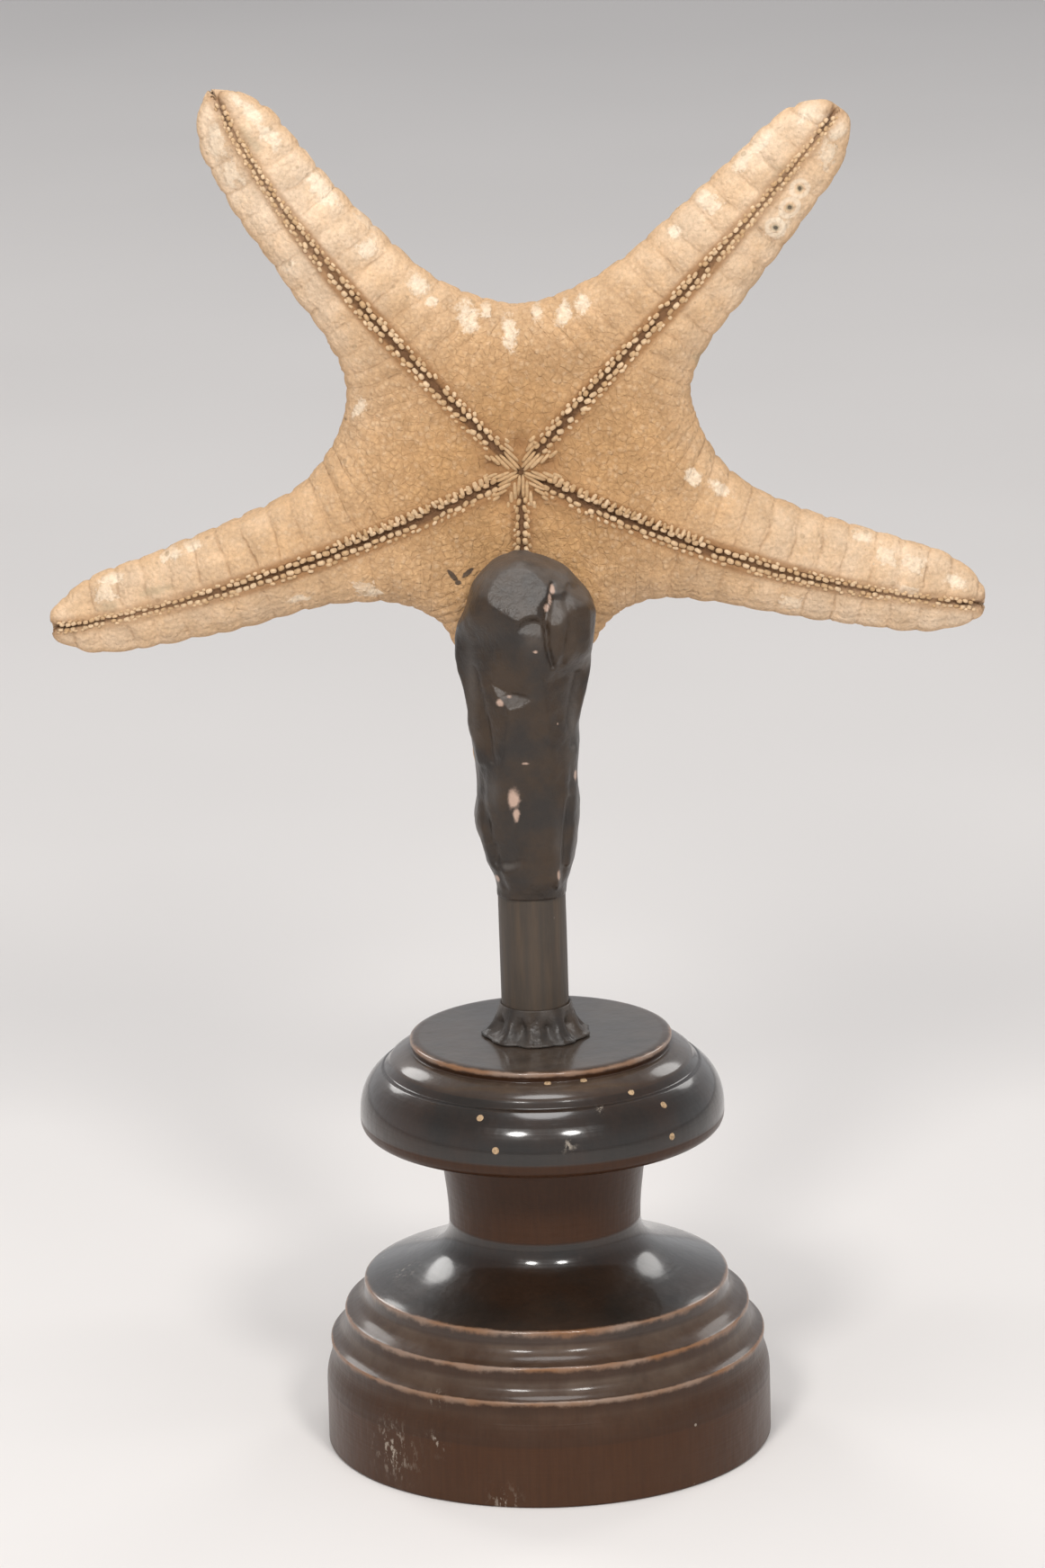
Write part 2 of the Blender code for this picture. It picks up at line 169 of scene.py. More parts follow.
class Sheet:
    """Short calls that lay out the nodes of one shader tree."""

    def __init__(self, tree: bpy.types.NodeTree) -> None:
        """Work in a node tree."""
        self.tree = tree

    def feed(self, socket: Socket, value: Value) -> None:
        """Link a socket to another one, or set its constant value."""
        if isinstance(value, Socket):
            self.tree.links.new(value, socket)
        elif socket.type == "RGBA" and isinstance(value, tuple):
            socket.default_value = (*value[:3], 1.0)
        else:
            socket.default_value = value

    def node(self, kind: str, values: dict | None = None, **settings: object) -> bpy.types.Node:
        """Add a shader node.

        Args:
            kind: The node's type name without its ShaderNode prefix.
            values: Sockets or constants by input name or number.
            settings: The node's own properties.

        Returns:
            The node.
        """
        made = self.tree.nodes.new("ShaderNode" + kind)
        for key, value in settings.items():
            setattr(made, key, value)
        for key, value in (values or {}).items():
            self.feed(made.inputs[key], value)
        return made

    def math(self, operation: str, *values: Value, clamp: bool = False) -> Socket:
        """A Math node's result."""
        terms = dict(enumerate(values))
        return self.node("Math", terms, operation=operation, use_clamp=clamp).outputs[0]

    def times(self, first: Value, second: Value) -> Socket:
        """The product of two values."""
        return self.math("MULTIPLY", first, second)

    def less(self, first: Value, second: Value) -> Socket:
        """The first value less the second."""
        return self.math("SUBTRACT", first, second)

    def vector_math(self, operation: str, *values: Value) -> bpy.types.Node:
        """A Vector Math node."""
        return self.node("VectorMath", dict(enumerate(values)), operation=operation)

    def mix(self, factor: Value, first: Value, second: Value, blend: str = "MIX") -> Socket:
        """Two colours mixed by a factor."""
        values = {0: factor, 6: first, 7: second}
        return self.node("Mix", values, data_type="RGBA", blend_type=blend).outputs[2]

    def ease(self, value: Value, low: float, high: float, start: float = 0.0, end: float = 1.0) -> Socket:
        """A value eased from start to end as it goes from low to high."""
        values = {0: value, 1: low, 2: high, 3: start, 4: end}
        return self.node("MapRange", values, interpolation_type="SMOOTHSTEP").outputs[0]

    def clouds(self, vector: Value, scale: Value, detail: float, roughness: float) -> Socket:
        """Soft noise from 0 to 1 at a scale per metre."""
        values = {"Vector": vector, "Scale": scale, "Detail": detail, "Roughness": roughness}
        return self.node("TexNoise", values).outputs["Fac"]

    def noise(self, vector: Value, size: float, detail: float = 3.0, roughness: float = 0.5) -> Socket:
        """Soft noise from 0 to 1 whose blots are about size millimetres across."""
        return self.clouds(vector, 1.0 / (size * MM), detail, roughness)

    def cells(self, vector: Value, size: float, feature: str = "F1") -> bpy.types.Node:
        """Voronoi cells about size millimetres across."""
        values = {"Vector": vector, "Scale": 1.0 / (size * MM)}
        return self.node("TexVoronoi", values, feature=feature)

    def attribute(self, name: str) -> Socket:
        """A value stored on the piece's points."""
        return self.node("Attribute", attribute_name=name).outputs["Fac"]

    def place(self) -> Socket:
        """The surface point in object coordinates."""
        return self.node("TexCoord").outputs["Object"]

    def stretched(self, vector: Value, scale: Triple) -> Socket:
        """A vector scaled along each axis."""
        return self.node("Mapping", {"Vector": vector, "Scale": scale}).outputs[0]

    def warped(self, vector: Value, size: float, amount: float) -> Socket:
        """A vector pushed about by noise of a size, up to an amount, both in millimetres."""
        values = {"Vector": vector, "Scale": 1.0 / (size * MM), "Detail": 2.0}
        push = self.node("TexNoise", values).outputs["Color"]
        reach = (2.0 * amount * MM,) * 3
        return self.vector_math("MULTIPLY_ADD", push, reach, vector).outputs[0]

    def oval(self, vector: Value, center: Pair, radii: Pair, turn: float = 0.0) -> Socket:
        """Distance from the middle of an upright oval seen from the front, 1 on its outline.

        Args:
            vector: The surface point.
            center: The oval's middle, across and up, in millimetres.
            radii: Its half-length and half-width in millimetres.
            turn: How far its length is turned counter-clockwise, in degrees.

        Returns:
            The distance.
        """
        values = {
            "Vector": vector,
            "Location": (center[0] * MM, 0.0, center[1] * MM),
            "Rotation": (0.0, -math.radians(turn), 0.0),
            "Scale": (radii[0] * MM, 1.0, radii[1] * MM),
        }
        mapped = self.node("Mapping", values, vector_type="TEXTURE").outputs[0]
        return self.vector_math("LENGTH", mapped).outputs["Value"]

    def tinted(self, color: Value, amount: Value) -> Socket:
        """A colour made lighter or darker by a factor."""
        combined = self.node("CombineColor", {0: amount, 1: amount, 2: amount}).outputs[0]
        return self.mix(1.0, color, combined, "MULTIPLY")

    def bump(self, height: Value, depth: float, normal: Value | None = None) -> Socket:
        """A normal bent by a height map whose full swing is depth millimetres."""
        values = {"Height": height, "Distance": depth * MM, "Strength": 1.0}
        if normal is not None:
            values["Normal"] = normal
        return self.node("Bump", values).outputs[0]


class EffectGroup:
    """A shader node group that several materials share, built the first time it is placed."""

    name = ""
    inputs: dict[str, str] = {}
    outputs: dict[str, str] = {}

    def lay_out(self, sheet: Sheet, given: dict[str, Socket]) -> dict[str, Socket]:
        """Make the group's nodes and return its output sockets by name."""
        raise NotImplementedError

    def tree(self) -> bpy.types.NodeTree:
        """The group's node tree."""
        if self.name in bpy.data.node_groups:
            return bpy.data.node_groups[self.name]
        tree = bpy.data.node_groups.new(self.name, "ShaderNodeTree")
        for title, kind in self.inputs.items():
            tree.interface.new_socket(title, in_out="INPUT", socket_type="NodeSocket" + kind)
        for title, kind in self.outputs.items():
            tree.interface.new_socket(title, in_out="OUTPUT", socket_type="NodeSocket" + kind)
        entry = tree.nodes.new("NodeGroupInput")
        leave = tree.nodes.new("NodeGroupOutput")
        results = self.lay_out(Sheet(tree), {title: entry.outputs[title] for title in self.inputs})
        for title, socket in results.items():
            tree.links.new(socket, leave.inputs[title])
        return tree

    def put(self, sheet: Sheet, values: dict[str, Value]) -> bpy.types.Node:
        """Place the group in a material with its own values."""
        return sheet.node("Group", values, node_tree=self.tree())


class Specks(EffectGroup):
    """Small scattered spots, such as paint flecks, pin holes or dirt."""

    name = "specks"
    inputs = {"Vector": "Vector", "Scale": "Float", "Share": "Float", "Radius": "Float"}
    outputs = {"Mask": "Float"}

    def lay_out(self, sheet: Sheet, given: dict[str, Socket]) -> dict[str, Socket]:
        """A spot of random size in a share of the cells."""
        cells = sheet.node("TexVoronoi", {"Vector": given["Vector"], "Scale": given["Scale"]})
        parts = sheet.node("SeparateColor", {0: cells.outputs["Color"]})
        chosen = sheet.math("LESS_THAN", parts.outputs[0], given["Share"])
        size = sheet.times(given["Radius"], sheet.math("ADD", parts.outputs[1], 0.35))
        near = sheet.math("DIVIDE", cells.outputs["Distance"], size)
        spot = sheet.ease(near, 1.0, 0.75)
        return {"Mask": sheet.times(chosen, spot)}


class Mottle(EffectGroup):
    """A colour made uneven: broad cloudy changes and a fine grain."""

    name = "mottle"
    inputs = {"Color": "Color", "Other": "Color", "Vector": "Vector", "Scale": "Float", "Amount": "Float"}
    outputs = {"Color": "Color"}

    def lay_out(self, sheet: Sheet, given: dict[str, Socket]) -> dict[str, Socket]:
        """Mix the two colours by a cloudy mask."""
        cloud = sheet.ease(sheet.clouds(given["Vector"], given["Scale"], 5.0, 0.62), 0.34, 0.68)
        share = sheet.times(cloud, given["Amount"])
        return {"Color": sheet.mix(share, given["Color"], given["Other"])}


class RubbedEdgeAndHighlight(EffectGroup):
    """Finish worn through where an edge is handled, and on the foot's rims also painted highlight lines, broken
    up by noise.
    """

    name = "rubbed_edge_and_highlight"
    inputs = {"Color": "Color", "Bare": "Color", "Edge": "Float", "Vector": "Vector", "Amount": "Float"}
    outputs = {"Color": "Color"}

    def lay_out(self, sheet: Sheet, given: dict[str, Socket]) -> dict[str, Socket]:
        """Bare colour where the edge value beats the noise."""
        rough = sheet.clouds(given["Vector"], 240.0, 4.0, 0.65)
        worn = sheet.less(given["Edge"], sheet.times(rough, 0.9))
        mask = sheet.times(sheet.ease(worn, -0.12, 0.4), given["Amount"])
        return {"Color": sheet.mix(mask, given["Color"], given["Bare"])}


class DustAndSheen(EffectGroup):
    """A thin grey film mixed in by a cover mask: dust that dulls a dark finish where it faces up or is seldom
    wiped, and on the putty also a painted sheen and painted highlights.
    """

    name = "dust"
    inputs = {"Color": "Color", "Roughness": "Float", "Film": "Color", "Cover": "Float", "Vector": "Vector"}
    outputs = {"Color": "Color", "Roughness": "Float"}

    def lay_out(self, sheet: Sheet, given: dict[str, Socket]) -> dict[str, Socket]:
        """Mix in the film colour and roughness by the broken cover."""
        patchy = sheet.ease(sheet.clouds(given["Vector"], 160.0, 5.0, 0.6), 0.25, 0.7, 0.45, 1.0)
        cover = sheet.math("MULTIPLY", given["Cover"], patchy, clamp=True)
        rough = sheet.math("MULTIPLY_ADD", cover, 0.3, given["Roughness"], clamp=True)
        return {"Color": sheet.mix(cover, given["Color"], given["Film"]), "Roughness": rough}


class Finish:
    """A procedural material."""

    title = ""

    def paint(self, sheet: Sheet, shader: bpy.types.Node) -> None:
        """Lay out the material's nodes."""
        raise NotImplementedError

    def material(self) -> bpy.types.Material:
        """The finished material."""
        made = bpy.data.materials.new(self.title)
        made.use_nodes = True
        self.paint(Sheet(made.node_tree), made.node_tree.nodes["Principled BSDF"])
        return made

    @staticmethod
    def dress(sheet: Sheet, shader: bpy.types.Node, values: dict[str, Value]) -> None:
        """Feed the shader's sockets, constants straight into them."""
        for name, value in values.items():
            sheet.feed(shader.inputs[name], value)


@dataclass(frozen=True)
class Spot:
    """An oval spot on the mouth side, placed across and up from the starfish's centre."""

    across: float
    up: float
    half_length: float
    half_width: float
    turn: float = 0.0

    def away(self, point: Vector) -> float:
        """Distance of a point from the spot's middle, 1 on its outline and never above 4."""
        x, y = point.x - self.across, point.y - self.up
        reach = 4.0 * max(self.half_length, self.half_width)
        if abs(x) > reach or abs(y) > reach:
            return 4.0
        c, s = math.cos(math.radians(self.turn)), math.sin(math.radians(self.turn))
        return min(4.0, math.hypot((c * x + s * y) / self.half_length, (c * y - s * x) / self.half_width))


@dataclass(frozen=True)
class DriedSkin(Finish):
    """The starfish's dry skin: tan plates with brown seams, bleached towards the arms, with painted shade in
    the grooves, hollows and along the outline and painted highlights on the pebbles.
    """

    disc: Color = (0.520, 0.298, 0.128)
    cream: Color = (0.755, 0.575, 0.410)
    warm: Color = (0.560, 0.335, 0.160)
    seam: Color = (0.300, 0.150, 0.060)
    # Dark brown of the groove: partly its own colour, partly painted shade in the channel.
    groove: Color = (0.170, 0.085, 0.040)
    bleached: Color = (0.850, 0.710, 0.545)
    # Orange-tan laid along the outline as painted shade where the skin turns away.
    rim: Color = (0.610, 0.375, 0.195)
    olive: Color = (0.330, 0.270, 0.170)
    dirt: Color = (0.300, 0.205, 0.115)
    ink_black: Color = (0.030, 0.026, 0.026)
    pebble_size: float = 1.25
    plate_size: float = 2.2
    front_depth: float = 16.0
    ring_scars: tuple[Spot, ...] = (
        Spot(66.5, 65.7, 1, 1), Spot(64.1, 61.3, 1.15, 1, 50), Spot(60.7, 56.8, 1, 1.1, 50),
    )
    ink_strokes: tuple[Spot, ...] = (
        Spot(-16.2, -24, 1.9, 0.62, -52), Spot(-12.7, -23.3, 1.8, 0.58, 40), Spot(-15, -25.6, 0.8, 0.60, 0),
    )
    title: str = "dried_starfish_skin"

    def nearest(self, sheet: Sheet, place: Socket, spots: tuple[Spot, ...]) -> Socket:
        """Distance to the nearest of some spots, 1 on its outline.

        Args:
            sheet: The material's node sheet.
            place: The surface point.
            spots: The spots.

        Returns:
            The distance.
        """
        least: Socket | None = None
        for spot in spots:
            middle = (STAR_CENTER[0] + spot.across, STAR_CENTER[1] + spot.up)
            away = sheet.oval(place, middle, (spot.half_length, spot.half_width), spot.turn)
            least = away if least is None else sheet.math("MINIMUM", least, away)
        return least

    def patches(self, sheet: Sheet, place: Socket) -> Socket:
        """Mask of the bleached, hard-edged patches.

        Args:
            sheet: The material's node sheet.
            place: The surface point.

        Returns:
            The mask.
        """
        plates = sheet.node("UVMap", uv_map="plates").outputs[0]
        parts = sheet.node("SeparateXYZ", {0: plates})
        along, inwards = parts.outputs[0], sheet.times(parts.outputs[1], 20.0)
        wobble = sheet.less(sheet.noise(place, 1.7, 5.0, 0.7), 0.5)
        ragged = sheet.math("MULTIPLY_ADD", wobble, 3.0, sheet.attribute("whitened"))
        named = sheet.ease(ragged, 1.45, 0.75)
        shares = sheet.math("ABSOLUTE", sheet.less(sheet.math("FRACT", along), 0.5))
        seed = sheet.node("CombineXYZ", {0: sheet.math("FLOOR", along), 1: 17.0}).outputs[0]
        draw = sheet.node("TexWhiteNoise", {"Vector": seed}, noise_dimensions="3D").outputs["Value"]
        picked = sheet.math("LESS_THAN", draw, sheet.attribute("bleach"))
        reach = sheet.math("MULTIPLY_ADD", wobble, 1.8, sheet.less(0.40, shares))
        off = sheet.math("ABSOLUTE", sheet.less(inwards, 4.2))
        band = sheet.math("MULTIPLY_ADD", wobble, 5.5, sheet.less(2.0, off))
        both = sheet.math("MINIMUM", sheet.times(reach, 5.0), band)
        drawn = sheet.times(picked, sheet.ease(both, 0.0, 0.6, 0.0, 0.7))
        return sheet.math("MAXIMUM", named, drawn)

    def seams(self, sheet: Sheet, place: Socket) -> Socket:
        """Mask of the thin brown lines between the cross rows of plates."""
        plates = sheet.node("UVMap", uv_map="plates").outputs[0]
        along = sheet.node("SeparateXYZ", {0: plates}).outputs[0]
        wobble = sheet.times(sheet.less(sheet.noise(place, 3.0), 0.5), 0.22)
        turn = sheet.math("FRACT", sheet.math("ADD", along, sheet.math("ADD", wobble, 0.5)))
        away = sheet.math("ABSOLUTE", sheet.less(turn, 0.5))
        line = sheet.ease(away, 0.085, 0.0)
        broken = sheet.ease(sheet.noise(place, 4.5, 2.0), 0.3, 0.62, 0.15, 1.0)
        return sheet.times(sheet.times(line, broken), sheet.attribute("furrow"))

    def marks(self, sheet: Sheet, place: Socket, front: Socket, color: Socket) -> Socket:
        """Draw the olive stains, the ring scars and the ink strokes.

        Args:
            sheet: The material's node sheet.
            place: The surface point.
            front: 1 on the mouth side.
            color: The colour so far.

        Returns:
            The colour with the marks on it.
        """
        cloud = sheet.times(sheet.less(sheet.noise(place, 2.4, 4.0, 0.65), 0.5), 2.4)
        stained = sheet.math("ADD", sheet.attribute("olive"), cloud)
        color = sheet.mix(sheet.ease(stained, 1.3, 0.3, 0.0, 0.42), color, self.olive)
        shaky = sheet.warped(place, 1.6, 0.35)
        away = self.nearest(sheet, shaky, self.ring_scars)
        ring = sheet.ease(sheet.math("ABSOLUTE", sheet.less(away, 1.9)), 0.8, 0.25, 0.0, 0.66)
        color = sheet.mix(sheet.times(ring, front), color, self.bleached)
        hollow = sheet.times(sheet.ease(away, 1.05, 0.5, 0.0, 0.78), front)
        color = sheet.mix(hollow, color, self.olive)
        pit = sheet.times(sheet.ease(away, 0.6, 0.35, 0.0, 0.75), front)
        color = sheet.mix(pit, color, self.ink_black)
        jitter = sheet.warped(place, 0.7, 0.25)
        stroke = sheet.ease(self.nearest(sheet, jitter, self.ink_strokes), 1.15, 0.8, 0.0, 0.85)
        return sheet.mix(sheet.times(stroke, front), color, self.ink_black)

    def paint(self, sheet: Sheet, shader: bpy.types.Node) -> None:
        """Build the colours from the broad tone down to the pores."""
        place = sheet.place()
        depth = sheet.node("SeparateXYZ", {0: place}).outputs[1]
        front = sheet.math("LESS_THAN", depth, self.front_depth * MM)
        color = sheet.mix(sheet.attribute("pale"), self.disc, self.cream)
        cloudy = {"Color": color, "Other": self.warm, "Vector": place, "Scale": 95.0, "Amount": 0.45}
        color = Mottle().put(sheet, cloudy).outputs["Color"]
        color = sheet.tinted(color, sheet.ease(sheet.noise(place, 7.0, 4.0, 0.6), 0.3, 0.7, 0.88, 1.12))
        pebbled = sheet.attribute("pebbled")
        wander = sheet.warped(place, 2.0, 0.5)
        pebbles = sheet.cells(wander, self.pebble_size)
        rounded = sheet.ease(pebbles.outputs["Distance"], 0.75, 0.15)
        picked = sheet.node("SeparateColor", {0: pebbles.outputs["Color"]}).outputs[0]
        # Painted highlight on the tops of chosen pebbles, and painted shade in the gaps between pebbles.
        lit = sheet.times(rounded, sheet.ease(picked, 0.35, 1.0))
        color = sheet.mix(sheet.times(lit, 0.22), color, self.cream)
        between = sheet.times(sheet.less(1.0, rounded), pebbled)
        color = sheet.mix(sheet.times(between, 0.26), color, self.seam)
        cracked = sheet.cells(wander, self.plate_size, "DISTANCE_TO_EDGE").outputs["Distance"]
        crack = sheet.times(sheet.ease(cracked, 0.09, 0.0), pebbled)
        color = sheet.mix(sheet.times(crack, 0.24), color, self.seam)
        seams = self.seams(sheet, place)
        color = sheet.mix(sheet.times(seams, 0.46), color, self.seam)
        patch = self.patches(sheet, place)
        streaky = sheet.ease(sheet.noise(place, 1.1, 4.0, 0.7), 0.25, 0.7, 0.40, 0.88)
        color = sheet.mix(sheet.times(patch, streaky), color, self.bleached)
        # Painted shade: an orange-tan band along the outline where the skin turns away.
        color = sheet.mix(sheet.times(sheet.attribute("rimward"), 0.55), color, self.rim)
        grain = sheet.noise(place, 0.9, 3.0, 0.7)
        color = sheet.tinted(color, sheet.ease(grain, 0.25, 0.75, 0.86, 1.10))
        flecks = {"Vector": place, "Scale": 330.0, "Share": 0.22, "Radius": 0.20}
        fleck = Specks().put(sheet, flecks).outputs["Mask"]
        color = sheet.mix(sheet.times(fleck, 0.40), color, self.dirt)
        color = self.marks(sheet, place, front, color)
        # Painted shade: the seam brown laid into the grooves, round the mouth and in the hollows.
        color = sheet.mix(sheet.attribute("stain_and_shade"), color, self.seam)
        # The groove's dark brown: partly its own colour, partly painted shade in the channel.
        color = sheet.mix(sheet.attribute("groove"), color, self.groove)
        normal = sheet.bump(sheet.math("MULTIPLY_ADD", rounded, 0.8, grain), 0.20)
        lines = sheet.math("MULTIPLY_ADD", crack, -0.4, sheet.times(seams, -1.0))
        normal = sheet.bump(patch, 0.06, sheet.bump(lines, 0.20, normal))
        rough = sheet.ease(patch, 0.0, 1.0, 0.78, 0.66)
        looks = {"Base Color": color, "Roughness": rough, "Normal": normal, "Specular IOR Level": 0.28}
        self.dress(sheet, shader, looks)


@dataclass(frozen=True)
class GrooveSpine(Finish):
    """The little blunt spines that line the grooves: cream on top, brown between."""

    cream: Color = (0.500, 0.315, 0.160)
    pale: Color = (0.720, 0.520, 0.325)
    root: Color = (0.185, 0.090, 0.037)
    title: str = "groove_spine"

    def paint(self, sheet: Sheet, shader: bpy.types.Node) -> None:
        """Shade each spine from its root to its top, with its own tint."""
        place = sheet.place()
        color = sheet.mix(sheet.attribute("tint"), self.cream, self.pale)
        color = sheet.tinted(color, sheet.ease(sheet.noise(place, 0.8), 0.3, 0.7, 0.85, 1.1))
        color = sheet.mix(sheet.ease(sheet.attribute("rise"), 0.22, 0.66), self.root, color)
        normal = sheet.bump(sheet.noise(place, 0.35), 0.05)
        looks = {"Base Color": color, "Roughness": 0.72, "Normal": normal, "Specular IOR Level": 0.3}
        self.dress(sheet, shader, looks)


@dataclass(frozen=True)
class DarkPutty(Finish):
    """Black modelling putty gone brown and satin, chipped to the pink filler under its paint."""

    body: Color = (0.021, 0.016, 0.013)
    brown: Color = (0.050, 0.028, 0.013)
    chip: Color = (0.520, 0.360, 0.280)
    # Grey of the dust, also the colour of the painted sheen and highlights.
    film: Color = (0.190, 0.172, 0.158)
    title: str = "dark_putty_paint"

    def paint(self, sheet: Sheet, shader: bpy.types.Node) -> None:
        """Build the smudged paint, its dust with painted sheen and highlights, and its chips."""
        place = sheet.place()
        smudges = {"Color": self.body, "Other": self.brown, "Vector": place, "Scale": 85.0, "Amount": 0.8}
        color = Mottle().put(sheet, smudges).outputs["Color"]
        grime = {"Color": color, "Roughness": 0.34, "Film": self.film, "Vector": place}
        dust_and_sheen = DustAndSheen().put(sheet, {**grime, "Cover": sheet.attribute("dust_and_sheen")})
        ragged = sheet.warped(sheet.stretched(place, (1.9, 1.9, 1.9)), 1.6, 1.2)
        edges = {"Color": dust_and_sheen.outputs["Color"], "Bare": self.chip, "Vector": ragged, "Amount": 0.9}
        worn_and_highlit = RubbedEdgeAndHighlight().put(sheet, {**edges, "Edge": sheet.attribute("chipped")})
        flecks = {"Vector": place, "Scale": 190.0, "Share": 0.07, "Radius": 0.13}
        fleck = Specks().put(sheet, flecks).outputs["Mask"]
        color = sheet.mix(sheet.times(fleck, 0.7), worn_and_highlit.outputs["Color"], self.chip)
        normal = sheet.bump(sheet.noise(place, 3.5, 4.0, 0.6), 0.4)
        normal = sheet.bump(sheet.noise(place, 0.7, 2.0), 0.05, normal)
        rough = dust_and_sheen.outputs["Roughness"]
        looks = {"Base Color": color, "Roughness": rough, "Normal": normal, "Specular IOR Level": 0.36}
        self.dress(sheet, shader, looks)


@dataclass(frozen=True)
class BrushedPaint(Finish):
    """Thin dark paint brushed down a round post."""

    body: Color = (0.038, 0.027, 0.018)
    worn: Color = (0.078, 0.048, 0.026)
    film: Color = (0.160, 0.130, 0.105)
    title: str = "brushed_post_paint"

    def paint(self, sheet: Sheet, shader: bpy.types.Node) -> None:
        """Streak the paint along the post."""
        place = sheet.place()
        streaks = sheet.stretched(place, (1.0, 1.0, 0.08))
        brush = {"Color": self.body, "Other": self.worn, "Vector": streaks, "Scale": 420.0, "Amount": 0.75}
        color = Mottle().put(sheet, brush).outputs["Color"]
        grime = {"Color": color, "Roughness": 0.46, "Film": self.film, "Cover": 0.10, "Vector": place}
        dust_and_sheen = DustAndSheen().put(sheet, grime)
        flecks = {"Vector": place, "Scale": 260.0, "Share": 0.05, "Radius": 0.12}
        fleck = Specks().put(sheet, flecks).outputs["Mask"]
        color = sheet.mix(sheet.times(fleck, 0.5), dust_and_sheen.outputs["Color"], self.film)
        normal = sheet.bump(sheet.noise(streaks, 0.9, 3.0), 0.10)
        looks = {"Base Color": color, "Roughness": dust_and_sheen.outputs["Roughness"], "Normal": normal}
        self.dress(sheet, shader, looks)


@dataclass(frozen=True)
class EbonisedWood(Finish):
    """Turned wood stained black over brown, with lathe lines, worn rims that also carry painted highlight
    lines, brown partly painted as a warm reflection, and old dust.
    """

    stain_and_shade: Color = (0.012, 0.009, 0.007)
    brown: Color = (0.052, 0.018, 0.005)
    bare: Color = (0.300, 0.205, 0.150)
    copper: Color = (0.260, 0.120, 0.050)
    film: Color = (0.250, 0.190, 0.140)
    fleck: Color = (0.560, 0.480, 0.390)
    title: str = "ebonised_turned_wood"

    def scuffs(self, sheet: Sheet, place: Socket) -> Socket:
        """Mask of the short pale scratches where the foot was knocked."""
        near = sheet.attribute("scuffed")
        drawn = sheet.noise(sheet.stretched(place, (1.0, 1.0, 0.45)), 1.3, 5.0, 0.72)
        return sheet.times(near, sheet.ease(drawn, 0.53, 0.60))

    def paint(self, sheet: Sheet, shader: bpy.types.Node) -> None:
        """Build the ebonising, the bare wood and painted highlight lines at the rims, the dust and the lathe
        lines.
        """
        place = sheet.place()
        # Brown shows through the black: the wood's own brown, and on the neck and plinth also a painted warm
        # reflection.
        color = sheet.mix(sheet.attribute("brown"), self.stain_and_shade, self.brown)
        smoky = {"Color": color, "Other": self.brown, "Vector": place, "Scale": 45.0, "Amount": 0.30}
        color = Mottle().put(sheet, smoky).outputs["Color"]
        grain = sheet.noise(sheet.stretched(place, (1.0, 1.0, 0.07)), 1.1, 4.0, 0.6)
        color = sheet.tinted(color, sheet.ease(grain, 0.25, 0.75, 0.90, 1.12))
        # Bare wood and copper for worn rims; along the rim top and the ring edges the same pale line is a
        # painted highlight.
        hue = sheet.mix(sheet.ease(sheet.noise(place, 14.0, 2.0), 0.35, 0.65), self.bare, self.copper)
        edges = {"Color": color, "Bare": hue, "Vector": place, "Amount": 0.85}
        worn_and_highlit = RubbedEdgeAndHighlight().put(sheet, {**edges, "Edge": sheet.attribute("worn_and_highlit")})
        grime = {"Color": worn_and_highlit.outputs["Color"], "Roughness": 0.34, "Film": self.film, "Vector": place}
        dust_and_sheen = DustAndSheen().put(sheet, {**grime, "Cover": sheet.attribute("dust_and_sheen")})
        flecks = {"Vector": place, "Scale": 150.0, "Share": 0.16, "Radius": 0.05}
        fleck = Specks().put(sheet, flecks).outputs["Mask"]
        color = sheet.mix(sheet.times(fleck, 0.45), dust_and_sheen.outputs["Color"], self.fleck)
        color = sheet.mix(sheet.times(self.scuffs(sheet, place), 0.6), color, self.fleck)
        # Less coat where the brown stands in for a warm reflection.
        polish = sheet.ease(sheet.attribute("brown"), 0.1, 0.7, 0.85, 0.12)
        height = sheet.node("SeparateXYZ", {0: place}).outputs[2]
        rings = sheet.node("TexNoise", {"W": height, "Scale": 900.0}, noise_dimensions="1D")
        normal = sheet.bump(grain, 0.04, sheet.bump(rings.outputs["Fac"], 0.07))
        normal = sheet.bump(sheet.noise(place, 6.0, 2.0), 0.22, normal)
        looks = {"Base Color": color, "Roughness": dust_and_sheen.outputs["Roughness"], "Normal": normal}
        coat = {"Coat Weight": polish, "Coat Roughness": 0.12, "Specular IOR Level": 0.22}
        self.dress(sheet, shader, {**looks, **coat})


@dataclass(frozen=True)
class BareWoodDust(Finish):
    """Pale wood dust packed in an old borer hole."""

    light: Color = (0.520, 0.360, 0.210)
    dark: Color = (0.200, 0.120, 0.060)
    title: str = "packed_wood_dust"

    def paint(self, sheet: Sheet, shader: bpy.types.Node) -> None:
        """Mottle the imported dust."""
        place = sheet.place()
        values = {"Color": self.light, "Other": self.dark, "Vector": place, "Scale": 1400.0, "Amount": 0.8}
        color = Mottle().put(sheet, values).outputs["Color"]
        normal = sheet.bump(sheet.noise(place, 0.4), 0.1)
        self.dress(sheet, shader, {"Base Color": color, "Roughness": 0.85, "Normal": normal})


@dataclass(frozen=True)
class StudioFloor(Finish):
    """A plain pale floor."""

    color: Color = (0.800, 0.765, 0.740)
    title: str = "studio_floor"

    def paint(self, sheet: Sheet, shader: bpy.types.Node) -> None:
        """A faint cloudiness keeps the floor from looking like plastic."""
        cloud = sheet.ease(sheet.noise(sheet.place(), 260.0, 2.0), 0.3, 0.7, 0.985, 1.015)
        color = sheet.tinted(self.color, cloud)
        self.dress(sheet, shader, {"Base Color": color, "Roughness": 0.8, "Specular IOR Level": 0.2})


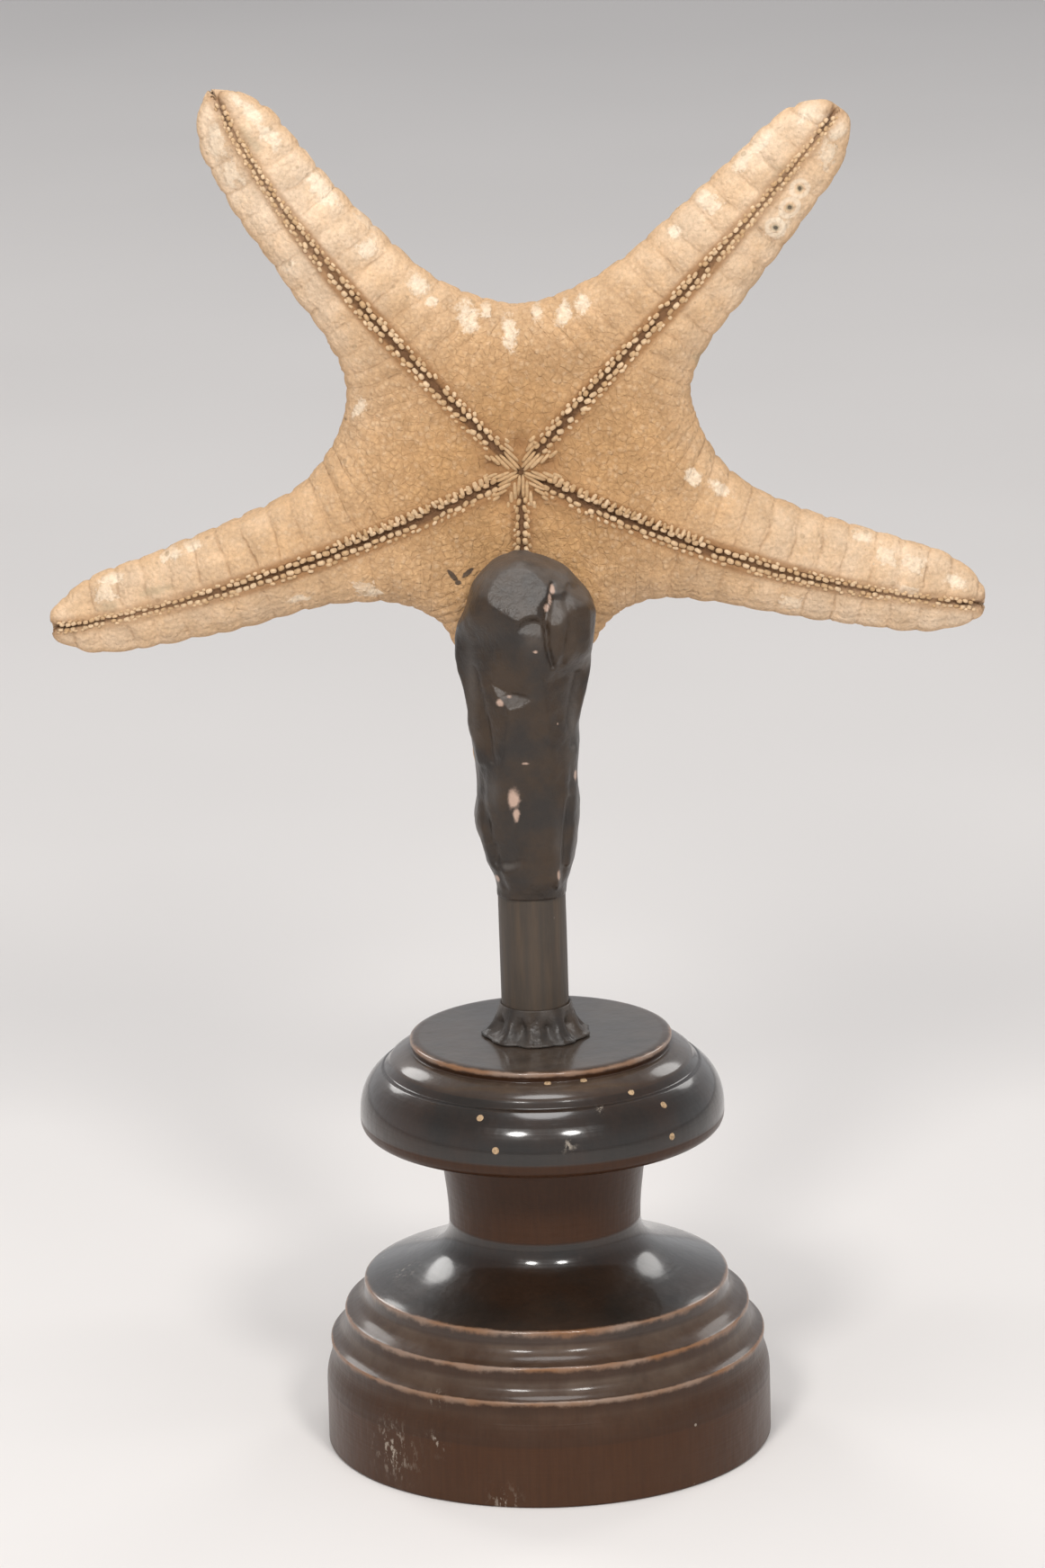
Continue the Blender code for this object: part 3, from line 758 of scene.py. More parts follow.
@dataclass(frozen=True)
class Arm:
    """One arm: its midline's control points, half-widths and how bleached it is.

    Points are (across, up) from the starfish's centre. Each half-width pair is taken at
    40 % and at 86 % of the arm's length, left and right as seen looking out along it.
    """

    name: str
    first: Pair
    second: Pair
    tip: Pair
    left: Pair
    right: Pair
    pallor: float
    groove: float


class Side(Enum):
    """The two faces of the starfish."""

    MOUTH = -1
    BACK = 1


@dataclass(frozen=True)
class Row:
    """One cross line of an arm."""

    station: float  # distance from the centre along the midline
    middle: Vector
    along: Vector
    right_edge: Vector
    left_edge: Vector

    def edge(self, side: int) -> Vector:
        """The row's end on one side: +1 is counter-clockwise."""
        return self.left_edge if side > 0 else self.right_edge


@dataclass
class StarPlan:
    """The starfish's outline and thickness, in millimetres from its centre."""

    plane_y: float = 17.0  # plane of the outline
    notch_station: float = 24.0
    edge_join: float = 58.0
    notch_handle: float = 7.0
    join_handle: float = 12.0
    disc_rows: int = 48
    arm_rows: int = 122
    row_easing: float = 1.2
    root_share: float = 0.40  # shares of an arm's length where its half-widths are given
    end_share: float = 0.86
    tip_power: float = 2.2
    rim_rounding: float = 12.5
    mouth_bulge: float = 7.0
    back_bulge_disc: float = 15.5
    back_bulge_arm: float = 9.5
    tip_share: float = 0.62
    arms: tuple[Arm, ...] = (
        Arm("upper_right", (24, 28), (53, 55), (75.3, 83.5), (15.5, 10.8), (13.8, 9.8), 0.80, 1.15),
        Arm("upper_left", (-25, 27), (-56, 60), (-68.6, 90.5), (12.1, 9.7), (16.0, 10.8), 1.05, 1.15),
        Arm("lower_left", (-28, -13.5), (-72, -30), (-111.5, -36), (13.0, 9.2), (16.2, 10.8), 0.62, 1.4),
        Arm("down", (0, -30), (-1, -64), (-1.5, -94), (15.9, 10.2), (15.9, 10.2), 0.35, 0.95),
        Arm("right", (28, -14.5), (60, -29), (108.5, -35.7), (17.0, 11.9), (13.0, 8.8), 0.80, 1.4),
    )
    notches: tuple[Pair, ...] = ((89.7, 38.8), (162.5, 43.2), (237.2, 41.5), (302.5, 42.2), (377.1, 42.6))

    def __post_init__(self) -> None:
        """Trace the midlines, the rows and the outline, and index the outline."""
        self.midlines = [bezier(((0, 0), arm.first, arm.second, arm.tip), 120) for arm in self.arms]
        self.lengths = [sum((b - a).length for a, b in zip(line, line[1:])) for line in self.midlines]
        turns = [(math.radians(degrees), radius) for degrees, radius in self.notches]
        self.notch_points = [Vector((math.cos(t), math.sin(t))) * radius for t, radius in turns]
        self.rows = [self.arm_rows_of(index) for index in range(len(self.arms))]
        self.outline: list[Vector] = []
        for rows in self.rows:
            outer = rows[self.disc_rows :]
            self.outline += [row.right_edge for row in outer]
            self.outline += [row.left_edge for row in reversed(outer)]
        self.tree = indexed([point.to_3d() for point in self.outline])

    def midline(self, index: int, station: float) -> tuple[Vector, Vector]:
        """Point and direction on an arm's midline at a distance from the centre."""
        line = self.midlines[index]
        left = station
        for a, b in zip(line, line[1:]):
            span = (b - a).length
            if left <= span:
                return a + (b - a) * (left / span), (b - a) / span
            left -= span
        return line[-1].copy(), (line[-1] - line[-2]).normalized()

    def half_width(self, index: int, side: int, station: float) -> float:
        """Half-width of an arm on one side, rounded off at the tip."""
        arm = self.arms[index]
        root, end = arm.left if side > 0 else arm.right
        share = station / self.lengths[index]
        width = root + (end - root) * (share - self.root_share) / (self.end_share - self.root_share)
        if share > self.end_share:
            past = (share - self.end_share) / (1.0 - self.end_share)
            width *= math.sqrt(max(0.0, 1.0 - past**self.tip_power))
        return width

    def beside(self, index: int, station: float, lateral: float) -> Vector:
        """Point beside an arm's midline: lateral is positive counter-clockwise."""
        point, along = self.midline(index, station)
        return point + Vector((-along.y, along.x)) * lateral

    def offset_edge(self, index: int, side: int, station: float) -> Vector:
        """Point on the edge of an arm beyond its root."""
        return self.beside(index, station, side * self.half_width(index, side, station))

    def notch_of(self, index: int, side: int) -> Vector:
        """The notch beside an arm."""
        return self.notch_points[index if side > 0 else index - 1]

    def edge_point(self, index: int, side: int, station: float) -> Vector:
        """Point on an arm's edge: a smooth curve out of the notch, then beside the midline."""
        if station >= self.edge_join:
            return self.offset_edge(index, side, station)
        notch = self.notch_of(index, side)
        tangent = Vector((notch.y, -notch.x)).normalized() * side
        join = self.offset_edge(index, side, self.edge_join)
        back = (join - self.offset_edge(index, side, self.edge_join + 4.0)).normalized()
        t = (station - self.notch_station) / (self.edge_join - self.notch_station)
        s = 1.0 - t
        near = notch * s**3 + (notch + tangent * self.notch_handle) * (3 * s * s * t)
        return near + (join + back * self.join_handle) * (3 * s * t * t) + join * t**3

    def arm_rows_of(self, index: int) -> list[Row]:
        """The cross lines of one arm, from the centre to the tip."""
        rows = []
        for number in range(self.disc_rows + self.arm_rows + 1):
            if number <= self.disc_rows:
                share = number / self.disc_rows
                station = self.notch_station * share
                edges = [self.notch_of(index, side) * share for side in (-1, 1)]
            else:
                left = 1.0 - (number - self.disc_rows) / self.arm_rows
                reach = self.lengths[index] - self.notch_station
                station = self.notch_station + reach * (1.0 - left**self.row_easing)
                edges = [self.edge_point(index, side, station) for side in (-1, 1)]
            middle, along = self.midline(index, station)
            rows.append(Row(station, middle, along, *edges))
        return rows

    def edge_distance(self, point: Vector) -> float:
        """Distance from a point of the plan to the outline."""
        _, number, _ = self.tree.find((point.x, point.y, 0.0))
        line = self.outline
        after = line[(number + 1) % len(line)]
        before = segment_distance(point, line[number - 1], line[number])
        return min(before, segment_distance(point, line[number], after))

    def bulge(self, radius: float, distance: float, face: Side) -> float:
        """Height of a face above the outline's plane.

        Args:
            radius: Distance from the starfish's centre.
            distance: Distance from the outline.
            face: Mouth side or back.

        Returns:
            The height in millimetres.
        """
        left = 1.0 - min(1.0, distance / self.rim_rounding)
        rim = math.sqrt(max(0.0, 1.0 - left * left))
        height = self.mouth_bulge
        if face is Side.BACK:
            height = self.back_bulge_arm
            height += (self.back_bulge_disc - self.back_bulge_arm) * hump(radius, 36.0)
        return height * (1.0 - (1.0 - self.tip_share) * smoothstep((radius - 60.0) / 52.0)) * rim

    def world(self, point: Vector, height: float) -> Vector:
        """A point of the plan in metres: height is above the outline's plane, positive to the back."""
        x, z = STAR_CENTER[0] + point.x, STAR_CENTER[1] + point.y
        return Vector((x, self.plane_y + height, z)) * MM


@dataclass(frozen=True)
class SkinPoint:
    """What the skin is like at one point: its relief in millimetres and its masks from 0 to 1."""

    relief: float
    phase: float
    groove: float
    furrow: float
    # Painted shade: brown laid into the grooves, round the mouth, in the dents between the arms and in the
    # back's hollows.
    stain_and_shade: float
    pebbled: float
    knob: float = 0.0


@dataclass
class SkinPattern:
    """Grooves, plate rows, pebbles and knobs that shape the starfish's skin."""

    plan: StarPlan
    disc_period: float = 2.9
    root_period: float = 3.2
    arm_period: float = 6.6
    root_end: float = 45.0
    furrow_width: float = 0.75
    furrow_depth: float = 0.50
    lobe_height: float = 0.19
    overlap: float = 0.22
    rim_line_depth: float = 0.16
    groove_depth: float = 1.25
    shoulder_height: float = 0.30
    pebble_size: float = 2.6
    pebble_depth: float = 0.22
    mouth_depth: float = 1.6
    mouth_radius: float = 13.0
    corner_depth: float = 0.9
    knob_spacing: float = 9.5
    knob_height: float = 2.3
    knob_size: float = 2.7
    low_knob_height: float = 1.15
    net_size: float = 4.6
    net_height: float = 0.75

    def period(self, station: float) -> float:
        """Spacing of the plate rows at a distance from the centre."""
        start, end = self.plan.notch_station, self.root_end
        if station < start:
            return self.disc_period
        share = min(1.0, (station - start) / (end - start))
        return self.root_period + (self.arm_period - self.root_period) * share

    def phase(self, station: float) -> float:
        """Number of plate rows between the centre and a station."""
        start, end = self.plan.notch_station, self.root_end
        rows = min(station, start) / self.disc_period
        if station > start:
            slope = (self.arm_period - self.root_period) / (end - start)
            rows += math.log(self.period(min(station, end)) / self.root_period) / slope
        return rows + max(0.0, station - end) / self.arm_period

    def groove_width(self, index: int, station: float) -> float:
        """Half-width of an arm's groove."""
        share = station / self.plan.lengths[index]
        width = self.plan.arms[index].groove * (1.0 - 0.55 * smoothstep((share - 0.40) / 0.5))
        return width * (0.45 + 0.55 * smoothstep(station / 8.0))

    def mouth(self, index: int, station: float, point: Vector, distance: float, lateral: float) -> SkinPoint:
        """The mouth side's skin.

        Args:
            index: Number of the arm.
            station: Distance from the centre along the midline.
            point: Place in the plan.
            distance: Distance from the outline.
            lateral: Distance from the midline.

        Returns:
            The skin at that point.
        """
        radius = point.length
        spot = Vector((point.x, point.y, 40.0))
        drift = noise.noise(spot / 8.0)
        phase = self.phase(station) + 0.16 * drift
        period = self.period(station)
        away = abs(phase - round(phase)) * period
        width = self.groove_width(index, station)
        on_arm = smoothstep((station - 18.0) / 26.0)
        fan = 0.16 + 0.20 * (1.0 - smoothstep((distance - 3.0) / 16.0))
        strength = (fan + (1.0 - fan) * on_arm) * (0.62 + 0.5 * noise.noise(spot / 13.0 + Vector((9, 9, 9))))
        fade = smoothstep((lateral - width) / 3.0)
        furrow = strength * fade
        rim_calm = 0.55 + 0.45 * smoothstep(distance / 4.0)
        relief = -self.furrow_depth * furrow * rim_calm * hump(away, self.furrow_width)
        relief += self.lobe_height * on_arm * fade * rim_calm * math.cos(math.tau * (phase - 0.5))
        relief += self.overlap * on_arm * fade * rim_calm * (phase % 1.0 - 0.5)
        relief -= self.rim_line_depth * on_arm * hump(distance - 2.3, 0.6)
        inside = 1.0 - smoothstep((lateral - 0.55 * width) / (0.75 * width))
        relief -= self.groove_depth * (width / 1.5) * inside
        near_disc = 1.0 - smoothstep((radius - 20.0) / 60.0)
        relief += self.shoulder_height * hump(lateral - width - 1.6, 1.3) * near_disc
        tipward = smoothstep((station / self.plan.lengths[index] - 0.90) / 0.08)
        relief += tipward * (0.55 * hump(lateral - 2.9, 1.9) - 1.3 * hump(lateral, 0.9))
        pebbled = 1.0 - smoothstep((radius - 26.0) / 34.0)
        near = noise.voronoi(spot / self.pebble_size)[0]
        relief -= self.pebble_depth * (0.15 + 0.85 * pebbled) * min(1.0, near[0]) ** 2
        relief += 0.24 * noise.noise(spot / 5.0) + 0.45 * noise.noise(spot / 17.0)
        corner = self.corner(point)
        relief -= self.mouth_dip(radius) + self.corner_depth * corner
        # Painted shade: a brown band round and beside the groove, a brown pool round the mouth and brown in the
        # dents between the arms.
        halo = 0.52 * hump(lateral, width + 2.0) * (0.40 + 0.60 * hump(radius, 52.0))
        beneath = 0.88 * (1.0 - smoothstep((lateral - width - 0.8) / 1.7))
        beneath *= 1.0 - 0.45 * smoothstep((station - 55.0) / 45.0)
        stain_and_shade = min(0.88, max(halo, beneath) + 0.40 * hump(radius, 12.0) + 0.5 * corner)
        # The groove's dark brown, partly its own colour and partly painted shade in the channel, weaker on
        # bleached arms.
        bleached = max(0.0, self.plan.arms[index].pallor - 0.3) / 0.75
        shown = 0.94 * (1.0 - 0.60 * smoothstep((station - 35.0) / 40.0) * bleached)
        return SkinPoint(relief, phase, shown * inside, furrow, stain_and_shade, pebbled)

    def mouth_dip(self, radius: float) -> float:
        """How far the skin sinks towards the mouth."""
        return self.mouth_depth * hump(radius, self.mouth_radius)

    def corner(self, point: Vector) -> float:
        """Strength of the dents between the arms close to the mouth, which are also painted with shade."""
        strongest = 0.0
        for notch in self.plan.notch_points:
            ray = notch.normalized()
            off = abs(point.x * ray.y - point.y * ray.x)
            strongest = max(strongest, hump(point.dot(ray) - 7.0, 2.0) * hump(off, 1.8))
        return strongest

    def back(self, index: int, station: float, point: Vector, distance: float, lateral: float) -> SkinPoint:
        """The back's skin: knobs along the arms, a low net of ridges, and edge plates.

        The arguments and result are those of mouth().
        """
        radius = point.length
        spot = Vector((point.x, point.y, -70.0))
        phase = self.phase(station) + 0.16 * noise.noise(spot / 8.0)
        away = abs(phase - round(phase)) * self.period(station)
        on_arm = smoothstep((station - 18.0) / 26.0)
        edge_zone = 1.0 - smoothstep((distance - 4.0) / 3.0)
        furrow = (0.25 + 0.75 * edge_zone) * on_arm
        relief = -0.6 * furrow * hump(away, self.furrow_width)
        relief -= 0.3 * on_arm * hump(distance - 4.6, 0.8)
        push = Vector((noise.noise(spot / 6.0), noise.noise(spot / 6.0 + Vector((31, 17, 5))), 0.0))
        near = noise.voronoi((spot + 2.0 * push) / self.net_size)[0]
        net = 1.0 - smoothstep((near[1] - near[0]) / 0.34)
        relief += self.net_height * net * (1.0 - edge_zone)
        step = station / self.knob_spacing
        off = abs(step - round(step)) * self.knob_spacing
        taper = min(1.0, radius / 110.0)
        size = self.knob_size - 1.1 * taper
        knob = hump(math.hypot(off, lateral), size) if round(step) > 0 else hump(radius, 3.4)
        relief += (self.knob_height - 1.1 * taper) * knob
        beside = abs(step - math.floor(step) - 0.5) * self.knob_spacing
        low_knob = hump(math.hypot(beside, lateral - 7.6 + 2.6 * taper), 0.62 * size) if station > 14.0 else 0.0
        low_knob *= smoothstep((distance - 3.0) / 3.0)
        relief += self.low_knob_height * low_knob
        relief += 0.30 * noise.noise(spot / 4.0) + 0.5 * noise.noise(spot / 16.0)
        raised = max(knob, 0.8 * low_knob)
        # Painted shade in the hollows between the net's ridges and the knobs, away from the rim.
        stain_and_shade = (0.46 + 0.25 * noise.noise(spot / 20.0)) * (1.0 - net) * (1.0 - edge_zone) * (1.0 - raised)
        if self.plan.arms[index].name == "down":
            relief *= 1.0 - smoothstep((station - 50.0) / 9.0)
        return SkinPoint(relief, phase, 0.0, furrow, stain_and_shade, 0.6 * (1.0 - edge_zone), raised)


@dataclass
class Starfish:
    """The starfish's body: one closed skin with a mouth side and a back."""

    plan: StarPlan
    pattern: SkinPattern
    mouth_columns: int = 76
    back_columns: int = 40
    bleached_spots: tuple[Spot, ...] = (
        Spot(-59.9, 85.7, 2.6, 1.3, -50), Spot(-55.9, 80.3, 3, 1.5, -50), Spot(-68.7, 81.7, 1.7, 1.2, 80),
        Spot(-63.6, 89.4, 1.9, 1, -60), Spot(-43.9, 67.4, 4.2, 1.9, -52), Spot(-27.5, 58.5, 1.6, 1.1, -50),
        Spot(-34, 60.5, 3.4, 1.3, -48), Spot(-22.7, 44.6, 2.5, 1.7, -40), Spot(-19.4, 41, 1.4, 1, 20),
        Spot(68.5, 83.6, 3.2, 1.5, 48), Spot(74.7, 78.2, 2, 1.3, 30), Spot(57, 76.5, 2.8, 1.5, 45),
        Spot(52.8, 72, 2.4, 1.3, 50), Spot(43.7, 63.7, 1.6, 1.1, 50), Spot(36.9, 55.9, 1.5, 1, 42),
        Spot(-11.4, 36.9, 3.2, 1.9, 100), Spot(-1.7, 33, 3.3, 1.4, 92), Spot(4.6, 37.6, 1.7, 1, 85),
        Spot(10.9, 37.4, 2.4, 1.5, 75), Spot(15.3, 39.4, 1.9, 1.4, 65), Spot(-7, 38.6, 1.5, 1, 95),
        Spot(-77.6, -16.3, 2.1, 1.1, 20), Spot(-82.3, -18.3, 2.4, 1.2, 12), Spot(-37.1, 16.1, 2, 1.1, 60),
        Spot(-35.2, -28.2, 1.7, 1, 0), Spot(-52.5, -29.5, 2.1, 0.9, 10), Spot(-96.5, -24, 2.6, 1, 10),
        Spot(40.1, -1.9, 2.1, 1.4, -45), Spot(46.3, -5.3, 2.5, 1.2, -30), Spot(79.8, -18, 2.4, 1.1, -20),
        Spot(90.1, -31.3, 2.8, 1.1, -14), Spot(101.8, -29.4, 2.2, 1.4, -20), Spot(44.5, 19.4, 1.3, 0.9, 60),
    )
    olive_spots: tuple[Spot, ...] = (
        Spot(-61, 80, 4.2, 1.5, -48), Spot(-86, -26.5, 4.5, 1.1, 12), Spot(62, 69, 3.2, 1.6, 50),
        Spot(-97.5, -30.6, 2.4, 1.6, 10), Spot(42.5, 25.5, 2.6, 2, 60), Spot(66, 45.6, 2, 1.2, 50),
    )
    masks: tuple[str, ...] = (
        "pale", "groove", "furrow", "stain_and_shade", "pebbled", "rimward", "bleach", "whitened", "olive",
    )

    @staticmethod
    def spread(share: float) -> float:
        """Share of the way to the edge, with points gathered at the groove and at the rim."""
        bend = math.sin(0.5 * math.pi * share)
        return 0.5 * (bend + bend * bend)

    @staticmethod
    def nearest(point: Vector, spots: tuple[Spot, ...]) -> float:
        """Distance from a point to the nearest spot, 1 on its outline."""
        return min(spot.away(point) for spot in spots)

    def masks_at(
        self, index: int, point: Vector, distance: float, face: Side, skin: SkinPoint
    ) -> dict[str, float]:
        """The values that the material reads at one point."""
        radius = point.length
        reach = radius / self.plan.lengths[index]
        cloud = noise.noise(Vector((point.x, point.y, 5.0)) / 24.0)
        pale = smoothstep((radius - 10.0) / 78.0) * self.plan.arms[index].pallor
        pale += 0.10 * cloud + 0.6 * skin.knob
        if distance < 9.0:
            pale += 0.10 * smoothstep((9.0 - distance) / 6.0)
        bleach = 0.05 + 0.42 * smoothstep((reach - 0.45) / 0.5)
        top_notch = hump((point - self.plan.notch_points[0]).length, 17.0)
        return {
            "pale": min(1.0, max(0.0, pale)),
            "groove": skin.groove,
            "furrow": skin.furrow,
            "stain_and_shade": skin.stain_and_shade,
            "pebbled": skin.pebbled,
            # The band along the outline that takes the painted shade.
            "rimward": hump(distance, 1.1),
            "bleach": 0.45 * bleach if face is Side.MOUTH else 0.6 * max(bleach, 0.75 * top_notch),
            "whitened": self.nearest(point, self.bleached_spots) if face is Side.MOUTH else 4.0,
            "olive": self.nearest(point, self.olive_spots) if face is Side.MOUTH else 4.0,
        }

    def patch(self, bm: bmesh.types.BMesh, index: int, face: Side) -> None:
        """Add one face of one arm, from the centre to the tip.

        Args:
            bm: The body's bmesh, with its layers made.
            index: Number of the arm.
            face: Mouth side or back.
        """
        layers = bm.verts.layers.float
        columns = self.mouth_columns if face is Side.MOUTH else self.back_columns
        rows = self.plan.rows[index]
        last = len(rows) - 1
        known_verts, known_faces = len(bm.verts), len(bm.faces)
        bmesh.ops.create_grid(bm, x_segments=last, y_segments=columns, size=0.5)
        bm.verts.ensure_lookup_table()
        bm.faces.ensure_lookup_table()
        shaper = self.pattern.mouth if face is Side.MOUTH else self.pattern.back
        for vert in bm.verts[known_verts:]:
            row = rows[round((vert.co.x + 0.5) * last)]
            column = round((vert.co.y + 0.5) * columns)
            across = 2.0 * column / columns - 1.0
            side = 1 if across >= 0.0 else -1
            edge = row.edge(side)
            point = row.middle + (edge - row.middle) * self.spread(abs(across))
            on_rim = row is rows[last] or (column in (0, columns) and row.station >= self.plan.notch_station)
            distance = 0.0 if on_rim else self.plan.edge_distance(point)
            offset = point - row.middle
            lateral = abs(offset.x * row.along.y - offset.y * row.along.x)
            skin = shaper(index, row.station, point, distance, lateral)
            height = self.plan.bulge(point.length, distance, face) * face.value
            vert.co = self.plan.world(point, height)
            vert[layers["relief"]] = skin.relief
            vert[layers["phase"]] = skin.phase
            vert[layers["inwards"]] = distance / 20.0
            vert[layers["across"]] = across
            for name, value in self.masks_at(index, point, distance, face, skin).items():
                vert[layers[name]] = value
        uv = bm.loops.layers.uv["plates"]
        for made in bm.faces[known_faces:]:
            middle = sum(vert[layers["across"]] for vert in made.verts)
            shift = 40.0 * (2 * index + (middle > 0.0)) + (400.0 if face is Side.BACK else 0.0)
            for loop in made.loops:
                loop[uv].uv = (loop.vert[layers["phase"]] + shift, loop.vert[layers["inwards"]])

    def build(self, material: bpy.types.Material) -> bpy.types.Object:
        """Make the body and press the relief into it.

        Args:
            material: The skin's finish.

        Returns:
            The piece.
        """
        bm = bmesh.new()
        for name in ("relief", "phase", "inwards", "across", *self.masks):
            bm.verts.layers.float.new(name)
        bm.loops.layers.uv.new("plates")
        for index in range(len(self.plan.arms)):
            for face in Side:
                self.patch(bm, index, face)
        bmesh.ops.remove_doubles(bm, verts=bm.verts, dist=0.004 * MM)
        bmesh.ops.recalc_face_normals(bm, faces=bm.faces)
        bm.normal_update()
        relief = bm.verts.layers.float["relief"]
        low, high = (Vector(corner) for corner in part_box("starfish"))
        for vert in bm.verts:
            moved = vert.co + vert.normal * (vert[relief] * MM)
            vert.co = [min(max(value, a), b) for value, a, b in zip(moved, low, high)]
        for name in ("relief", "phase", "inwards", "across"):
            bm.verts.layers.float.remove(bm.verts.layers.float[name])
        return add_piece("starfish_body", bm, material, "dried_starfish", "starfish")


@dataclass
class GrooveSpines:
    """The spines beside each arm's groove and round the mouth."""

    plan: StarPlan
    pattern: SkinPattern
    seed: int = 11
    hidden_from: float = 21.0  # past this distance the putty covers the arm that points down
    segments: int = 8
    rings: int = 6
    squareness: float = 0.74
    toothed: tuple[tuple[str, int], ...] = (("lower_left", -1), ("right", 1))
    mouth_rows: tuple[Triple, ...] = (
        (0.50, 0.7, 5.6), (1.42, 2.1, 5.2), (2.30, 4.6, 3.6), (3.05, 6.9, 2.4),
    )

    def ball(self) -> bmesh.types.BMesh:
        """A squarish ball of radius 1 with its height outwards stored from 0 to 1."""
        ball = bmesh.new()
        ball.verts.layers.float.new("tint")
        rise = ball.verts.layers.float.new("rise")
        bmesh.ops.create_uvsphere(ball, u_segments=self.segments, v_segments=self.rings, radius=1.0)
        for vert in ball.verts:
            vert[rise] = 0.5 - 0.5 * vert.co.y
            vert.co = [math.copysign(abs(value) ** self.squareness, value) for value in vert.co]
        return ball

    def spine(
        self, index: int, station: float, lateral: float, sizes: Triple, turn: float, lift: float
    ) -> None:
        """Add one spine.

        Args:
            index: Number of the arm.
            station: Distance from the centre along the midline.
            lateral: Distance beside the midline, positive counter-clockwise.
            sizes: Half-lengths along the arm, across it and outwards.
            turn: Angle in degrees that the spine is turned by in the plan.
            lift: Height of its middle above the skin.
        """
        point, along = self.plan.midline(index, station)
        place = point + Vector((-along.y, along.x)) * lateral
        height = self.plan.bulge(place.length, self.plan.edge_distance(place), Side.MOUTH)
        height += lift - self.pattern.mouth_dip(place.length)
        angle = math.atan2(along.y, along.x) + math.radians(turn)
        tilt = Matrix.Rotation(math.radians(self.rng.uniform(-14, 14)), 4, "X")
        tilt @= Matrix.Rotation(math.radians(self.rng.uniform(-12, 12)), 4, "Z")
        shape = Matrix.Diagonal((sizes[0] * MM, sizes[2] * MM, sizes[1] * MM, 1.0))
        stand = Matrix.Translation(self.plan.world(place, -height)) @ Matrix.Rotation(-angle, 4, "Y")
        one = self.model.copy()
        bmesh.ops.transform(one, matrix=stand @ tilt @ shape, verts=one.verts)
        tint = self.rng.random() * (0.25 + 0.75 * smoothstep((station - 4.0) / 14.0))
        for vert in one.verts:
            vert[one.verts.layers.float["tint"]] = tint
        one.to_mesh(self.carrier)
        one.free()
        self.bm.from_mesh(self.carrier)

    def mouth_rods(self, index: int) -> None:
        """Long rods that lie along the slits round the mouth."""
        for lateral, start, length in self.mouth_rows:
            for side in (-1, 1):
                reach = length + self.rng.uniform(-0.5, 0.5)
                turn = side * self.rng.uniform(-2.0, 6.0)
                middle = start + 0.5 * reach
                sizes = (0.54 * reach, self.rng.uniform(0.42, 0.52), 0.62)
                self.spine(index, middle, side * lateral, sizes, turn, -0.05 - 0.05 * lateral)

    def edge_spines(self, index: int, side: int) -> None:
        """Two rows of spines on one side of a groove, rods near the mouth and beads beyond.

        Args:
            index: Number of the arm.
            side: Which side of the midline.
        """
        arm = self.plan.arms[index]
        draw = self.rng.uniform
        end = self.hidden_from if arm.name == "down" else self.plan.lengths[index] - 2.4
        station = 6.6 + draw(0.0, 1.0)
        while station < end:
            width = self.pattern.groove_width(index, station)
            scale = 0.55 + 0.45 * width / arm.groove
            loose = hump(station - 18.0, 14.0)
            if self.rng.random() < 0.92:
                sizes = (draw(0.80, 1.04) * scale, draw(0.50, 0.68) * scale, 0.62 * scale)
                lateral = side * (0.40 * width + 0.20 + (0.42 + 0.25 * loose) * self.rng.random())
                turn = draw(-14, 14) + side * loose * draw(-8, 30)
                self.spine(index, station, lateral, sizes, turn, draw(-0.28, -0.12))
            if self.rng.random() < 0.70 + 0.25 * loose:
                sizes = (draw(0.50, 0.80) * scale, draw(0.36, 0.50) * scale, 0.52 * scale)
                lateral = side * (width + 0.58 + 0.5 * loose * self.rng.random())
                turn = draw(-20, 20) + side * loose * draw(0, 50)
                self.spine(index, station + draw(0.3, 1.2), lateral, sizes, turn, -0.08)
            station += draw(1.72, 2.12) * scale

    def teeth(self, index: int, side: int) -> None:
        """Pale teeth that lie across one side of a groove.

        Args:
            index: Number of the arm.
            side: Which side of the midline.
        """
        station = 8.0
        while station < 46.0:
            width = self.pattern.groove_width(index, station)
            near = hump(station - 10.0, 5.0)
            sizes = (0.46 + 0.22 * near, 1.0 + 0.15 * self.rng.random(), 0.55)
            turn = self.rng.uniform(-16, 16)
            self.spine(index, station, side * (width + 0.55), sizes, turn, 0.08 + 0.15 * self.rng.random())
            station += self.rng.uniform(1.35, 1.9)

    def build(self, material: bpy.types.Material) -> bpy.types.Object:
        """Make every spine as one piece.

        Args:
            material: The spines' finish.

        Returns:
            The piece.
        """
        self.rng = random.Random(self.seed)
        self.model = self.ball()
        self.carrier = bpy.data.meshes.new("one_spine")
        self.bm = bmesh.new()
        for index, arm in enumerate(self.plan.arms):
            self.mouth_rods(index)
            for side in (-1, 1):
                self.edge_spines(index, side)
                if (arm.name, side) in self.toothed:
                    self.teeth(index, side)
        self.model.free()
        bpy.data.meshes.remove(self.carrier)
        return add_piece("groove_spines", self.bm, material, "dried_starfish")


@dataclass(frozen=True)
class Press:
    """A flat made by a thumb or a knife: putty beyond this plane is pushed back to it."""

    point: Triple
    normal: Triple
    reach: float = 40.0
    softness: float = 0.3

    def apply(self, place: Vector) -> Vector:
        """Push a point back to the plane, within the press's reach."""
        normal = Vector(self.normal).normalized()
        offset = place - Vector(self.point)
        beyond = offset.dot(normal)
        if beyond < -4.0 * self.softness:
            return place
        eased = 0.5 * (beyond + math.sqrt(beyond * beyond + self.softness**2))
        aside = (offset - normal * beyond).length
        return place - normal * eased * (1.0 - smoothstep((aside - self.reach) / (0.3 * self.reach)))


